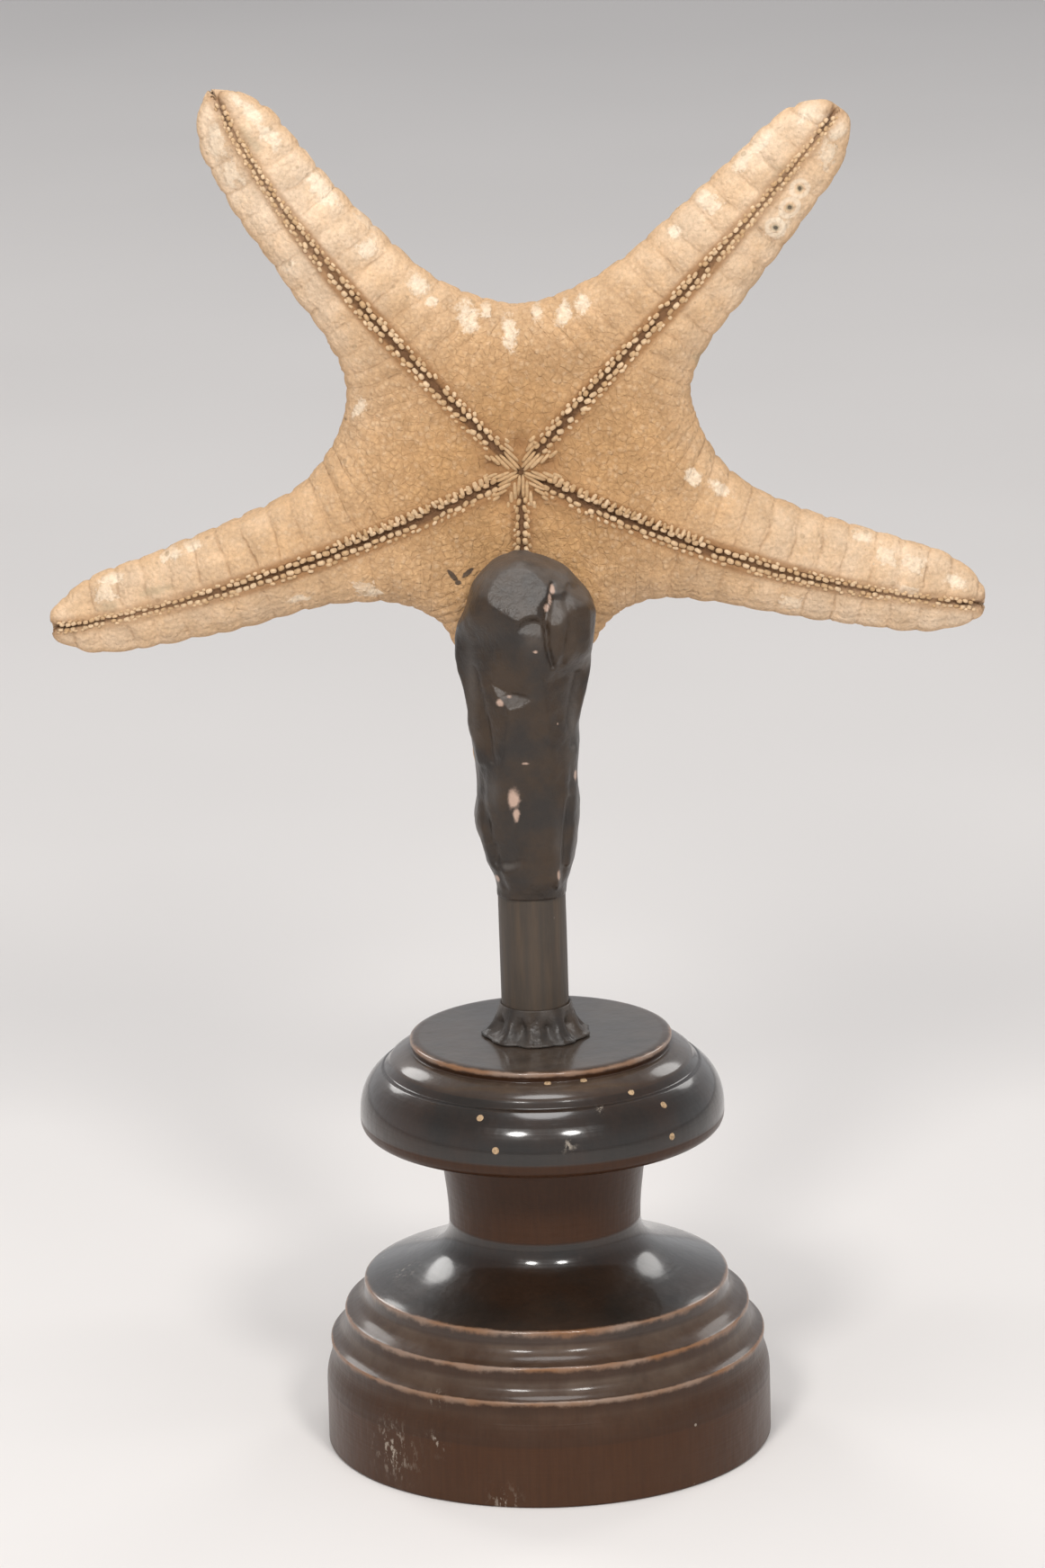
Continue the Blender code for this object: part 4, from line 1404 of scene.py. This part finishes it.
@dataclass(frozen=True)
class Crease:
    """A line drawn into the putty's front, or raised from it, across and up."""

    line: tuple[Pair, ...]
    depth: float
    width: float

    def at(self, x: float, z: float) -> float:
        """Depth at a point of the front."""
        point = Vector((x, z))
        stops = [Vector(stop) for stop in self.line]
        near = min(segment_distance(point, a, b) for a, b in zip(stops, stops[1:]))
        return self.depth * hump(near, self.width)


@dataclass
class PuttyHolder:
    """Putty moulded by hand round the post's top and the arm that points down."""

    around: int = 190
    rings: int = 230
    front_squareness: float = 0.8
    rear_squareness: float = 0.6
    sections: tuple[tuple[float, ...], ...] = (
        (134.8, -9.5, 6.9, -8.4, 9.2), (137, -9.6, 7.2, -9, 13), (139.5, -10.3, 8, -9.6, 19),
        (142.7, -11.8, 8.9, -10, 23.5), (148, -13.1, 9.9, -10.7, 25.6), (152.5, -14.3, 10.3, -11, 25.6),
        (158, -13.5, 10.3, -11.3, 22.6), (164, -13.6, 9.9, -11.5, 18), (170.2, -14.2, 10.8, -11.7, 16.2),
        (175.4, -15.1, 10.8, -11.9, 15.4), (180, -15.4, 11.8, -12.1, 15.2), (184.6, -16.3, 13, -12.3, 15),
        (189, -17.5, 13.9, -12.5, 15), (194, -17.9, 14.3, -12.8, 14.8), (198.6, -17.2, 15, -12.9, 14.5),
        (203, -15.2, 15.1, -12.7, 13.8), (206, -14.3, 13.8, -12, 13.2), (209, -13.2, 11.2, -11, 12.6),
        (212, -10.9, 8.7, -9.4, 11.4), (214, -8.4, 4.6, -7.4, 9.8), (215.6, -4.7, 0.4, -4.4, 7.4),
    )
    presses: tuple[Press, ...] = (
        Press((-3, -11, 206), (-0.12, -0.87, 0.47), 11, 0.15),
        Press((4.9, -9.3, 210.3), (0.45, -0.45, 0.77), 9, 0.2),
        Press((-2.7, -12, 198), (-0.46, -0.88, -0.12), 13, 0.25),
        Press((0.4, -12.1, 199.5), (0.08, -0.90, 0.42), 3.6, 0.15),
        Press((6.3, -11, 204.3), (0.10, -0.88, 0.45), 3.8, 0.15),
        Press((12.2, -8.6, 200), (0.62, -0.78, 0.05), 10), Press((1, -11, 170), (0.02, -1, -0.03), 26, 0.25),
        Press((-10.2, -7.9, 170), (-0.70, -0.71, 0.05), 26, 0.25),
        Press((7.9, -7.9, 164), (0.72, -0.69, 0.06), 24, 0.25),
        Press((10.6, -7.6, 184), (0.80, -0.58, -0.16), 6), Press((-8.8, -8.2, 152), (-0.45, -0.86, -0.22), 8),
    )
    ridges: tuple[Crease, ...] = (
        Crease(((-16.2, 197), (-15, 189), (-13.2, 181), (-11.3, 170), (-9.8, 162), (-11.7, 152)), 0.8, 0.8),
        Crease(((-11.8, 186), (-10.2, 178), (-8.8, 170)), 0.5, 0.6),
        Crease(((-13, 170.5), (-11.5, 165), (-9.8, 161.8), (-8.4, 156), (-7.8, 147)), 0.6, 0.7),
        Crease(((6.3, 182), (6.9, 176), (7.9, 167.5), (7, 160), (6.2, 155), (5.2, 146), (4.8, 138)), 0.8, 0.65),
        Crease(((12.6, 207), (13.2, 202), (12.8, 194), (11.6, 186)), 0.6, 1.2),
        Crease(((9.8, 170), (9.4, 161), (8.9, 152), (7.4, 143)), 0.5, 0.8),
    )
    creases: tuple[Crease, ...] = (
        Crease(((5.2, 210.6), (4.4, 207), (3.5, 203), (3.8, 197), (4.9, 192)), 1.3, 0.65),
        Crease(((8.4, 208), (9.5, 203.5), (8.9, 197.5), (7, 192.5)), 0.9, 1.1),
        Crease(((9, 209.8), (11.3, 208.3), (13.6, 207.6)), 0.7, 0.7),
        Crease(((-7.6, 184), (-4.5, 185), (-1.2, 184.6)), 0.45, 0.45),
        Crease(((-13.7, 190), (-12.3, 184), (-10.6, 176), (-9.9, 169)), 0.6, 0.8),
        Crease(((-12.4, 166.5), (-12.3, 158), (-10.9, 150)), 0.8, 1),
        Crease(((10.9, 188), (9.7, 183.7), (8.9, 178), (9.3, 172)), 0.9, 1.1),
        Crease(((8.3, 159), (7.5, 151), (6.5, 142)), 0.6, 0.8),
        Crease(((-9.6, 148), (-9.2, 143), (-7.6, 138)), 0.5, 0.8),
        Crease(((-3.6, 157), (-2.6, 148), (-3.2, 141)), 0.25, 0.8),
    )
    chips: tuple[tuple[float, ...], ...] = (
        (5.2, 209.9, 0.5, 0.8, 1), (4.5, 207.8, 0.35, 1.4, 1), (3.7, 205.9, 0.5, 0.8, 1),
        (-7.6, 183.3, 0.8, 0.7, 1), (-5.4, 184.6, 0.7, 0.25, 1), (-1.9, 168.9, 0.9, 0.30, 1),
        (-4.9, 160.4, 1.2, 2.2, 1), (-4.4, 156.4, 0.7, 1.5, 1), (9.6, 164, 0.3, 1.2, 1),
        (5.2, 141, 0.35, 1.2, 1), (-9.2, 139.4, 0.5, 0.9, 1), (0.9, 195.9, 0.5, 0.35, 1),
    )
    # Painted highlights on the front: across, up, half-widths and strength.
    painted_highlights: tuple[tuple[float, ...], ...] = (
        (9.6, 174, 1.8, 14, 0.34), (-14.2, 184, 1.4, 16, 0.24), (-9.8, 162, 1.6, 4, 0.22),
        (0.8, 199, 2.6, 3.2, 0.22), (6.9, 205, 1.6, 2.6, 0.30), (5.4, 146, 1.2, 9, 0.18),
        (-3.2, 184.5, 3.4, 0.8, 0.16),
    )

    def section(self, height: float) -> list[float]:
        """Left, right, front and rear limits at a height, on a smooth curve through the sections."""
        table = self.sections
        number = sum(height > row[0] for row in table[1:-1])
        rows = [table[max(0, min(len(table) - 1, number + step))] for step in (-1, 0, 1, 2)]
        t = (height - rows[1][0]) / (rows[2][0] - rows[1][0])
        limits = []
        for column in range(1, 5):
            a, b, c, d = (row[column] for row in rows)
            bend = (2 * a - 5 * b + 4 * c - d) * t * t + (3 * (b - c) + d - a) * t**3
            limits.append(0.5 * (2 * b + (c - a) * t + bend))
        return limits

    def surface(self, turn: float, height: float) -> Vector:
        """Point of the moulded surface before it is pressed."""
        left, right, front, rear = self.section(height)
        power = self.rear_squareness if turn > 0.0 else self.front_squareness
        x = math.copysign(abs(math.cos(turn)) ** power, math.cos(turn))
        y = math.copysign(abs(math.sin(turn)) ** power, math.sin(turn))
        middle_y = min(0.5 * (front + rear), 1.5)
        depth = (rear - middle_y) if y > 0.0 else (middle_y - front)
        return Vector((0.5 * (left + right) + 0.5 * (right - left) * x, middle_y + depth * y, height))

    def mould(self, place: Vector) -> Vector:
        """Press, crease and ripple one point."""
        outwards = Vector((place.x / 24.0, -1.0, 0.0)).normalized()
        forward = smoothstep((2.0 - place.y) / 6.0)
        raised = max(ridge.at(place.x, place.z) for ridge in self.ridges)
        place = place + outwards * (raised * forward)
        for press in self.presses:
            place = press.apply(place)
        if place.y < 2.0:
            sunk = sum(crease.at(place.x, place.z) for crease in self.creases)
            place = place - outwards * (sunk * forward)
        calm = 0.35 + 0.65 * smoothstep((abs(place.x + 1.5) - 5.0) / 6.0)
        ripple = 0.34 * calm * noise.noise(place / 6.5) + 0.13 * noise.noise(place / 2.6)
        away = Vector((place.x + 1.5, place.y - 2.0, 0.0))
        return place + away.normalized() * ripple

    @staticmethod
    def strongest(ovals: tuple[tuple[float, ...], ...], spot: Vector, softness: float) -> float:
        """Strongest of some soft ovals, each across, up, its half-widths and its strength, at a point."""
        return max(
            amount * hump(math.hypot((spot.x - x) / wide, (spot.z - z) / tall), softness)
            for x, z, wide, tall, amount in ovals
        )

    def build(self, material: bpy.types.Material) -> bpy.types.Object:
        """Make the moulded putty.

        Args:
            material: Its finish.

        Returns:
            The piece.
        """
        bm = bmesh.new()
        dust_and_sheen = bm.verts.layers.float.new("dust_and_sheen")
        chipped = bm.verts.layers.float.new("chipped")
        bmesh.ops.create_uvsphere(bm, u_segments=self.around, v_segments=self.rings, radius=1.0)
        bottom, top = self.sections[0][0], self.sections[-1][0]
        for vert in bm.verts:
            ring = round(self.rings * math.acos(max(-1.0, min(1.0, -vert.co.z))) / math.pi)
            share = min(1.0, max(0.0, (ring - 1) / (self.rings - 2)))
            height = bottom + (top - bottom) * share
            turn = math.atan2(vert.co.y, vert.co.x)
            place = self.mould(self.surface(turn, height))
            if ring in (0, self.rings):
                left, right, front, rear = self.section(height)
                place = Vector((0.5 * (left + right), 0.5 * (front + rear), height))
            vert.co = place * MM
        bmesh.ops.recalc_face_normals(bm, faces=bm.faces)
        bmesh.ops.smooth_vert(bm, verts=bm.verts, factor=0.5)
        bm.normal_update()
        for vert in bm.verts:
            spot = vert.co / MM
            front = 1.0 if spot.y < 2.0 else 0.0
            vert[chipped] = 0.98 * front * self.strongest(self.chips, spot, 1.4)
            # A grey film: a little dust all over, painted highlights at the listed spots on the front, and dust
            # with a painted sheen where the face turns up.
            highlit = front * self.strongest(self.painted_highlights, spot, 1.0)
            vert[dust_and_sheen] = 0.04 + highlit + 0.45 * smoothstep((vert.normal.z - 0.28) / 0.4)
        return add_piece("putty_on_post", bm, material, "dark_putty", "putty_holder")


@dataclass
class PuttyCollar:
    """The ring of putty thumbed down round the post where it enters the foot."""

    center_x: float = -1.0
    bottom: float = 99.75
    inner: float = 8.02
    outer: float = 13.1
    height: float = 7.9
    steps: int = 168
    thumbs: int = 9
    thumb_depth: float = 2.1

    def outline(self) -> list[Pair]:
        """The ring's cross-section, from its inner foot up and out to its outer foot."""
        bottom, top = self.bottom, self.bottom + self.height
        line = [Vector((self.inner, bottom)), Vector((self.inner, top))]
        lip = ((self.inner + 0.5, top), (self.inner + 0.9, bottom + 6.4))
        toe = ((self.outer - 2.6, bottom + 1.9), (self.outer, bottom + 0.5))
        line += bezier((*lip, *toe), 22)
        line.append(Vector((self.outer - 0.1, bottom)))
        return [(point.x, point.y) for point in line]

    def build(self, material: bpy.types.Material) -> bpy.types.Object:
        """Spin the ring, then press it with a thumb all round.

        Args:
            material: Its finish.

        Returns:
            The piece.
        """
        bm = bmesh.new()
        dust_and_sheen = bm.verts.layers.float.new("dust_and_sheen")
        bm.verts.layers.float.new("chipped")
        spin_outline(bm, self.outline(), self.steps, closed=True)
        bmesh.ops.recalc_face_normals(bm, faces=bm.faces)
        for vert in bm.verts:
            radius = math.hypot(vert.co.x, vert.co.y) / MM
            turn = math.atan2(vert.co.y, vert.co.x)
            reach = max(0.0, (radius - self.inner - 0.5) / (self.outer - self.inner))
            press = 0.5 + 0.5 * math.cos(self.thumbs * turn + 1.3 * math.sin(turn))
            fold = noise.noise(Vector((math.cos(turn), math.sin(turn), 0.0)) * 3.4)
            pinch = self.thumb_depth * press * press * math.sin(math.pi * min(1.0, reach))
            ripple = 0.8 * fold + 0.6 * noise.noise(vert.co / (1.9 * MM))
            scale = 1.0 - min(1.0, 3.0 * reach) * (pinch - 0.6 * ripple + 0.35) / max(radius, 1.0)
            vert.co.x *= scale
            vert.co.y *= scale
            vert[dust_and_sheen] = 0.08 + 0.25 * smoothstep(press)
        bmesh.ops.translate(bm, verts=bm.verts, vec=(self.center_x * MM, 0.0, 0.0))
        return add_piece("thumbed_collar", bm, material, "dark_putty", "putty_collar")


@dataclass
class Post:
    """The round post between the foot and the putty."""

    radius: float = 8.0
    bottom: float = 78.0
    top: float = 211.0
    center_x: float = -1.0
    foot_top: float = 99.7
    lean: float = -0.5
    sides: int = 96
    rings: int = 60

    def build(self, material: bpy.types.Material) -> bpy.types.Object:
        """Make the post, a little uneven under its paint.

        Args:
            material: Its finish.

        Returns:
            The piece.
        """
        bm = bmesh.new()
        bmesh.ops.create_circle(bm, cap_ends=True, segments=self.sides, radius=self.radius * MM)
        bmesh.ops.translate(bm, verts=bm.verts, vec=(0, 0, (self.bottom - self.foot_top) * MM))
        ring = [edge for edge in bm.edges]
        rise = (self.top - self.bottom) / self.rings * MM
        for _ in range(self.rings):
            made = bmesh.ops.extrude_edge_only(bm, edges=ring)["geom"]
            verts = [item for item in made if isinstance(item, bmesh.types.BMVert)]
            bmesh.ops.translate(bm, verts=verts, vec=(0, 0, rise))
            ring = [item for item in made if isinstance(item, bmesh.types.BMEdge)]
            ring = [edge for edge in ring if all(vert in verts for vert in edge.verts)]
        bmesh.ops.holes_fill(bm, edges=ring)
        for vert in bm.verts:
            wave = 0.06 * noise.noise(Vector((vert.co.x, vert.co.y, 0.3 * vert.co.z)) / (7.0 * MM))
            scale = 1.0 - abs(wave) / self.radius
            vert.co.x *= scale
            vert.co.y *= scale
        stand = Matrix.Translation((self.center_x * MM, 0.0, self.foot_top * MM))
        stand @= Matrix.Rotation(math.radians(self.lean), 4, "Y")
        bmesh.ops.transform(bm, verts=bm.verts, matrix=stand)
        bmesh.ops.recalc_face_normals(bm, faces=bm.faces)
        piece = add_piece("painted_post", bm, material, "dark_post", "post")
        piece.data.set_sharp_from_angle(angle=math.radians(50))
        return piece


@dataclass(frozen=True)
class Turning:
    """A stretch of the foot's outline: its curve, how its finish has aged, and the highlight and reflection
    painted on it.

    The curve's points are (radius, height). Wear with painted highlights, and dust, are taken at its start and
    end.
    """

    curve: tuple[Pair, Pair, Pair, Pair]
    steps: int
    # Wear at the ends: bare wood worn through, at the rim top and ring edges also a painted highlight line.
    worn_and_highlit: Pair = (0.0, 0.0)
    dust_and_sheen: Pair = (0.05, 0.05)
    # brown: the wood's brown under the black, on the neck and plinth also a painted warm reflection.
    brown: float = 0.2


@dataclass
class TurnedFoot:
    """The turned foot: a bun over a waist, a cove and three stepped rings."""

    steps: int = 224
    holes: tuple[tuple[float, float], ...] = (
        (2.5, 97), (18.4, 97), (35.2, 94), (45, 90.3), (44.3, 83.3), (-21.6, 90.9), (-15, 84.4), (141, 88),
        (-118, 86), (164, 22), (97, 10),
    )
    hole_radius: float = 0.85
    plug_depth: float = 0.14
    # Each turning: curve, steps, wear, dust and brown. Wear at the rim top and the three ring edges is also a
    # painted highlight line; brown on the neck and plinth is partly a painted warm reflection.
    turnings: tuple[Turning, ...] = (
        Turning(((0.2, 99.7), (10, 99.7), (20, 99.7), (28.6, 99.7)), 10, (0, 0), (0.22, 0.30), 0),
        Turning(((29, 99.7), (30.2, 99.7), (30.9, 99.5), (31, 99.2)), 5, (0.10, 0.95), (0.25, 0), 0.3),
        Turning(((31, 98.9), (31, 98.5), (30.9, 98.1), (30.7, 97.8)), 3, (0.75, 0), (0, 0), 0.6),
        Turning(((30.6, 97.6), (30.5, 97.4), (30.5, 97.2), (30.6, 97)), 2, (0, 0.1), (0, 0.1), 0.5),
        Turning(((31, 97), (32.6, 96.5), (34.4, 95.6), (35.8, 94.4)), 6, (0.30, 0.05), (0.30, 0.12), 0.2),
        Turning(((35.9, 94.1), (36.6, 93.4), (37, 92.9), (37.4, 92.5)), 3, (0, 0), (0.04, 0.02), 0),
        Turning(((37.5, 92.6), (41, 90), (43.2, 87), (43.2, 81.2)), 16, (0, 0), (0.03, 0), 0),
        Turning(((43.2, 80.4), (43.2, 78.2), (41.8, 77.3), (40, 77)), 6, (0, 0), (0, 0), 0.7),
        Turning(((38, 76.2), (34, 75.1), (29, 74.4), (25.3, 73.9)), 6, (0, 0), (0, 0), 0.6),
        Turning(((24.7, 73), (23.9, 67), (22.8, 60), (22.8, 55)), 16, (0, 0), (0, 0), 0.9),
        Turning(((22.8, 54), (22.9, 47.5), (30, 45), (42.2, 40.5)), 20, (0, 0), (0, 0.07), 0),
        Turning(((42.5, 40.35), (42.9, 40.2), (43.2, 40.1), (43.35, 39.9)), 3, (0.35, 1), (0.05, 0), 0.2),
        Turning(((43.4, 39.7), (43.5, 39), (43.4, 38), (43.6, 37.2)), 4, (0.7, 0), (0, 0.1), 0.3),
        Turning(((43.8, 36.4), (44.3, 34.8), (46, 33.8), (47.5, 33.2)), 6, (0, 0), (0.32, 0.16), 0.5),
        Turning(((47.7, 33.1), (47.9, 33), (48.1, 32.9), (48.2, 32.7)), 3, (0.35, 1), (0.1, 0), 0.4),
        Turning(((48.25, 32.4), (48.3, 31.8), (48.2, 31), (48.4, 30.2)), 4, (0.7, 0), (0, 0.08), 0.5),
        Turning(((48.6, 29.2), (49, 27.6), (50, 26.6), (51.1, 26)), 6, (0, 0), (0.30, 0.16), 0.5),
        Turning(((51.3, 25.9), (51.5, 25.8), (51.7, 25.7), (51.8, 25.5)), 3, (0.35, 1), (0.1, 0), 0.5),
        Turning(((51.8, 25.2), (51.8, 24.6), (51.5, 23.9), (51.6, 23.2)), 4, (0.7, 0), (0, 0.06), 0.6),
        Turning(((51.6, 22), (51.6, 20.4), (52.95, 19), (53, 15.2)), 8, (0, 0), (0.12, 0.02), 0.7),
        Turning(((53, 14.6), (53, 10), (53, 5), (53, 0.7)), 6, (0, 0.1), (0.02, 0.05), 1),
        Turning(((53, 0.5), (52.9, 0.1), (52.6, 0), (52.2, 0)), 2, (0.2, 0), (0, 0), 1),
        Turning(((40, 0), (30, 0), (10, 0), (0.2, 0)), 4, (0, 0), (0.3, 0.3), 0.9),
    )
    scuffs: tuple[Triple, ...] = (
        (-44.4, 9.8, 5), (-30, 14.5, 1.6), (-12, 1.6, 2.4), (7.9, 85.5, 1.3), (21, 92, 0.9), (-77.7, 43.6, 2.6),
        (-31, 25, 1.5), (150, 12, 4), (-160, 84, 2),
    )

    def outline(self) -> list[tuple[float, float, float, float, float]]:
        """Points of the outline from the middle of the top down to the underside.

        Returns:
            Tuples of radius, height, wear with painted highlight, dust, and brown with painted reflection.
        """
        points = []
        for turning in self.turnings:
            for step, point in enumerate(bezier(turning.curve, turning.steps)):
                share = step / turning.steps
                worn_and_highlit = turning.worn_and_highlit[0] + (turning.worn_and_highlit[1] - turning.worn_and_highlit[0]) * share
                dust_and_sheen = turning.dust_and_sheen[0] + (turning.dust_and_sheen[1] - turning.dust_and_sheen[0]) * share
                points.append((point.x, point.y, worn_and_highlit, dust_and_sheen, turning.brown))
        return points

    def body(self, material: bpy.types.Material) -> bpy.types.Object:
        """Spin the outline and give each ring its age and its painted light.

        Args:
            material: The wood's finish.

        Returns:
            The piece.
        """
        bm = bmesh.new()
        layers = [bm.verts.layers.float.new(name) for name in ("worn_and_highlit", "dust_and_sheen", "brown", "scuffed")]
        outline = self.outline()
        spin_outline(bm, [point[:2] for point in outline], self.steps, closed=False)
        bmesh.ops.holes_fill(bm, edges=[edge for edge in bm.edges if edge.is_boundary])
        bmesh.ops.recalc_face_normals(bm, faces=bm.faces)
        tree = indexed([Vector((*point[:2], 0.0)) for point in outline])
        knocks = [(self.outside(degrees, height), wide) for degrees, height, wide in self.scuffs]
        for vert in bm.verts:
            radius = math.hypot(vert.co.x, vert.co.y) / MM
            _, number, _ = tree.find((radius, vert.co.z / MM, 0.0))
            turn = Vector((vert.co.x, vert.co.y, 0.0)) / (18.0 * MM)
            uneven = 0.75 + 0.5 * noise.noise(turn + Vector((0.0, 0.0, vert.co.z / (30.0 * MM))))
            for layer, value in zip(layers, outline[number][2:]):
                vert[layer] = value * (uneven if layer is layers[1] else 1.0)
            vert[layers[3]] = max(hump((vert.co / MM - spot).length, wide) for spot, wide in knocks)
        return add_piece("ebonised_foot", bm, material, "ebonised_wood", "turned_foot")

    def radius_at(self, height: float) -> float:
        """The foot's outside radius at a height."""
        line = self.outline()
        return max(
            a[0] + (b[0] - a[0]) * (height - a[1]) / (b[1] - a[1])
            for a, b in zip(line, line[1:])
            if min(a[1], b[1]) <= height <= max(a[1], b[1]) and a[1] != b[1]
        )

    def outside(self, degrees: float, height: float) -> Vector:
        """The point of the outside at a turn from the front and a height."""
        turn, radius = math.radians(degrees), self.radius_at(height)
        return Vector((math.sin(turn) * radius, -math.cos(turn) * radius, height))

    def borer_holes(self, material: bpy.types.Material) -> bpy.types.Object:
        """Flush plugs of pale dust in the borer holes.

        Args:
            material: The dust's finish.

        Returns:
            The piece.
        """
        bm = bmesh.new()
        for degrees, height in self.holes:
            slope = math.atan2(self.radius_at(height - 0.8) - self.radius_at(height + 0.8), 1.6)
            face = Matrix.Rotation(math.radians(degrees), 4, "Z") @ Matrix.Rotation(-slope, 4, "X")
            shape = Matrix.Diagonal((self.hole_radius * MM, self.plug_depth * MM, self.hole_radius * MM, 1.0))
            matrix = Matrix.Translation(self.outside(degrees, height) * MM) @ face @ shape
            bmesh.ops.create_uvsphere(bm, u_segments=20, v_segments=10, radius=1.0, matrix=matrix)
        return add_piece("borer_holes", bm, material, "ebonised_wood")

    def build(self, wood: bpy.types.Material, dust: bpy.types.Material) -> None:
        """Make the foot and its borer holes."""
        self.body(wood)
        self.borer_holes(dust)


@dataclass(frozen=True)
class SoftLight:
    """A large soft lamp that looks at a point."""

    name: str
    place: Triple
    target: Triple
    size: float
    power: float
    color: Color = (1.0, 1.0, 1.0)

    def build(self) -> None:
        """Hang the lamp."""
        lamp = bpy.data.lights.new(self.name, "AREA")
        lamp.shape = "DISK"
        lamp.size = self.size
        lamp.energy = self.power
        lamp.color = self.color
        holder = put_in_scene(self.name, lamp)
        aim = (Vector(self.target) - Vector(self.place)).to_track_quat("-Z", "Y")
        holder.matrix_world = Matrix.Translation(self.place) @ aim.to_matrix().to_4x4()


@dataclass
class Studio:
    """Pale floor, soft lamps and the camera. Lengths here are metres."""

    floor_radius: float = 9.0
    horizon: Color = (0.66, 0.665, 0.68)
    zenith: Color = (0.27, 0.28, 0.30)
    camera_place: Triple = (0.0, -1.72422, 0.64435)
    camera_pitch: float = 0.305806  # below the horizon
    camera_yaw: float = 0.00163879
    camera_nod: float = 0.0324538
    camera_roll: float = 0.0245774
    lens: float = 175.36
    lamps: tuple[SoftLight, ...] = (
        SoftLight("key_left", (-0.42, -1.25, 1.15), (0.0, 0.0, 0.20), 0.30, 10.6, (1.0, 0.985, 0.96)),
        SoftLight("key_right", (0.46, -1.25, 1.15), (0.0, 0.0, 0.20), 0.28, 9.2, (1.0, 0.985, 0.96)),
        SoftLight("back_left", (-1.1, 1.5, 1.25), (0.0, 0.0, 0.20), 0.7, 7.0, (1.0, 0.985, 0.96)),
        SoftLight("back_right", (1.1, 1.4, 1.25), (0.0, 0.0, 0.20), 0.7, 5.0, (1.0, 0.985, 0.96)),
        SoftLight("overhead", (0.0, -0.12, 1.35), (0.0, -0.02, 0.10), 0.5, 5.0),
    )

    def build_floor(self) -> None:
        """Lay the floor."""
        bm = bmesh.new()
        bmesh.ops.create_circle(bm, cap_ends=True, segments=96, radius=self.floor_radius)
        mesh_object("studio_floor", bm, StudioFloor().material())

    def build_sky(self) -> None:
        """Fill the surroundings with plain light, paler towards the horizon."""
        world = bpy.data.worlds.new("studio_sky")
        world.use_nodes = True
        sheet = Sheet(world.node_tree)
        way = sheet.node("TexCoord").outputs["Generated"]
        height = sheet.node("SeparateXYZ", {0: way}).outputs[2]
        color = sheet.mix(sheet.ease(height, 0.0, 0.75), self.horizon, self.zenith)
        sheet.feed(world.node_tree.nodes["Background"].inputs["Color"], color)
        bpy.context.scene.world = world

    def build_camera(self) -> None:
        """Stand the camera and aim it."""
        forward = Vector((0.0, math.cos(self.camera_pitch), -math.sin(self.camera_pitch)))
        right = Vector((1.0, 0.0, 0.0))
        up = right.cross(forward)
        yaw = Matrix.Rotation(self.camera_yaw, 3, "Z")
        forward, right, up = yaw @ forward, yaw @ right, yaw @ up
        nod = Matrix.Rotation(self.camera_nod, 3, right)
        forward, up = nod @ forward, nod @ up
        roll = Matrix.Rotation(self.camera_roll, 3, forward)
        right, up = roll @ right, roll @ up
        camera = bpy.data.cameras.new("studio_camera")
        camera.sensor_width = 36.0
        camera.lens = self.lens
        camera.clip_end = 60.0
        holder = put_in_scene("studio_camera", camera)
        turn = Matrix((right, up, -forward)).transposed()
        holder.matrix_world = Matrix.Translation(self.camera_place) @ turn.to_4x4()
        bpy.context.scene.camera = holder

    def build(self) -> None:
        """Set up the whole studio."""
        self.build_floor()
        self.build_sky()
        for lamp in self.lamps:
            lamp.build()
        self.build_camera()
        bpy.context.scene.view_settings.view_transform = "Standard"


def main() -> None:
    """Build the studio and every piece, in order."""
    logging.basicConfig(level=logging.INFO, format="%(name)s: %(message)s")
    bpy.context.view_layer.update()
    Studio().build()
    plan = StarPlan()
    pattern = SkinPattern(plan)
    Starfish(plan, pattern).build(DriedSkin().material())
    GrooveSpines(plan, pattern).build(GrooveSpine().material())
    putty = DarkPutty().material()
    PuttyHolder().build(putty)
    PuttyCollar().build(putty)
    Post().build(BrushedPaint().material())
    TurnedFoot().build(EbonisedWood().material(), BareWoodDust().material())


if __name__ == "__main__":
    main()
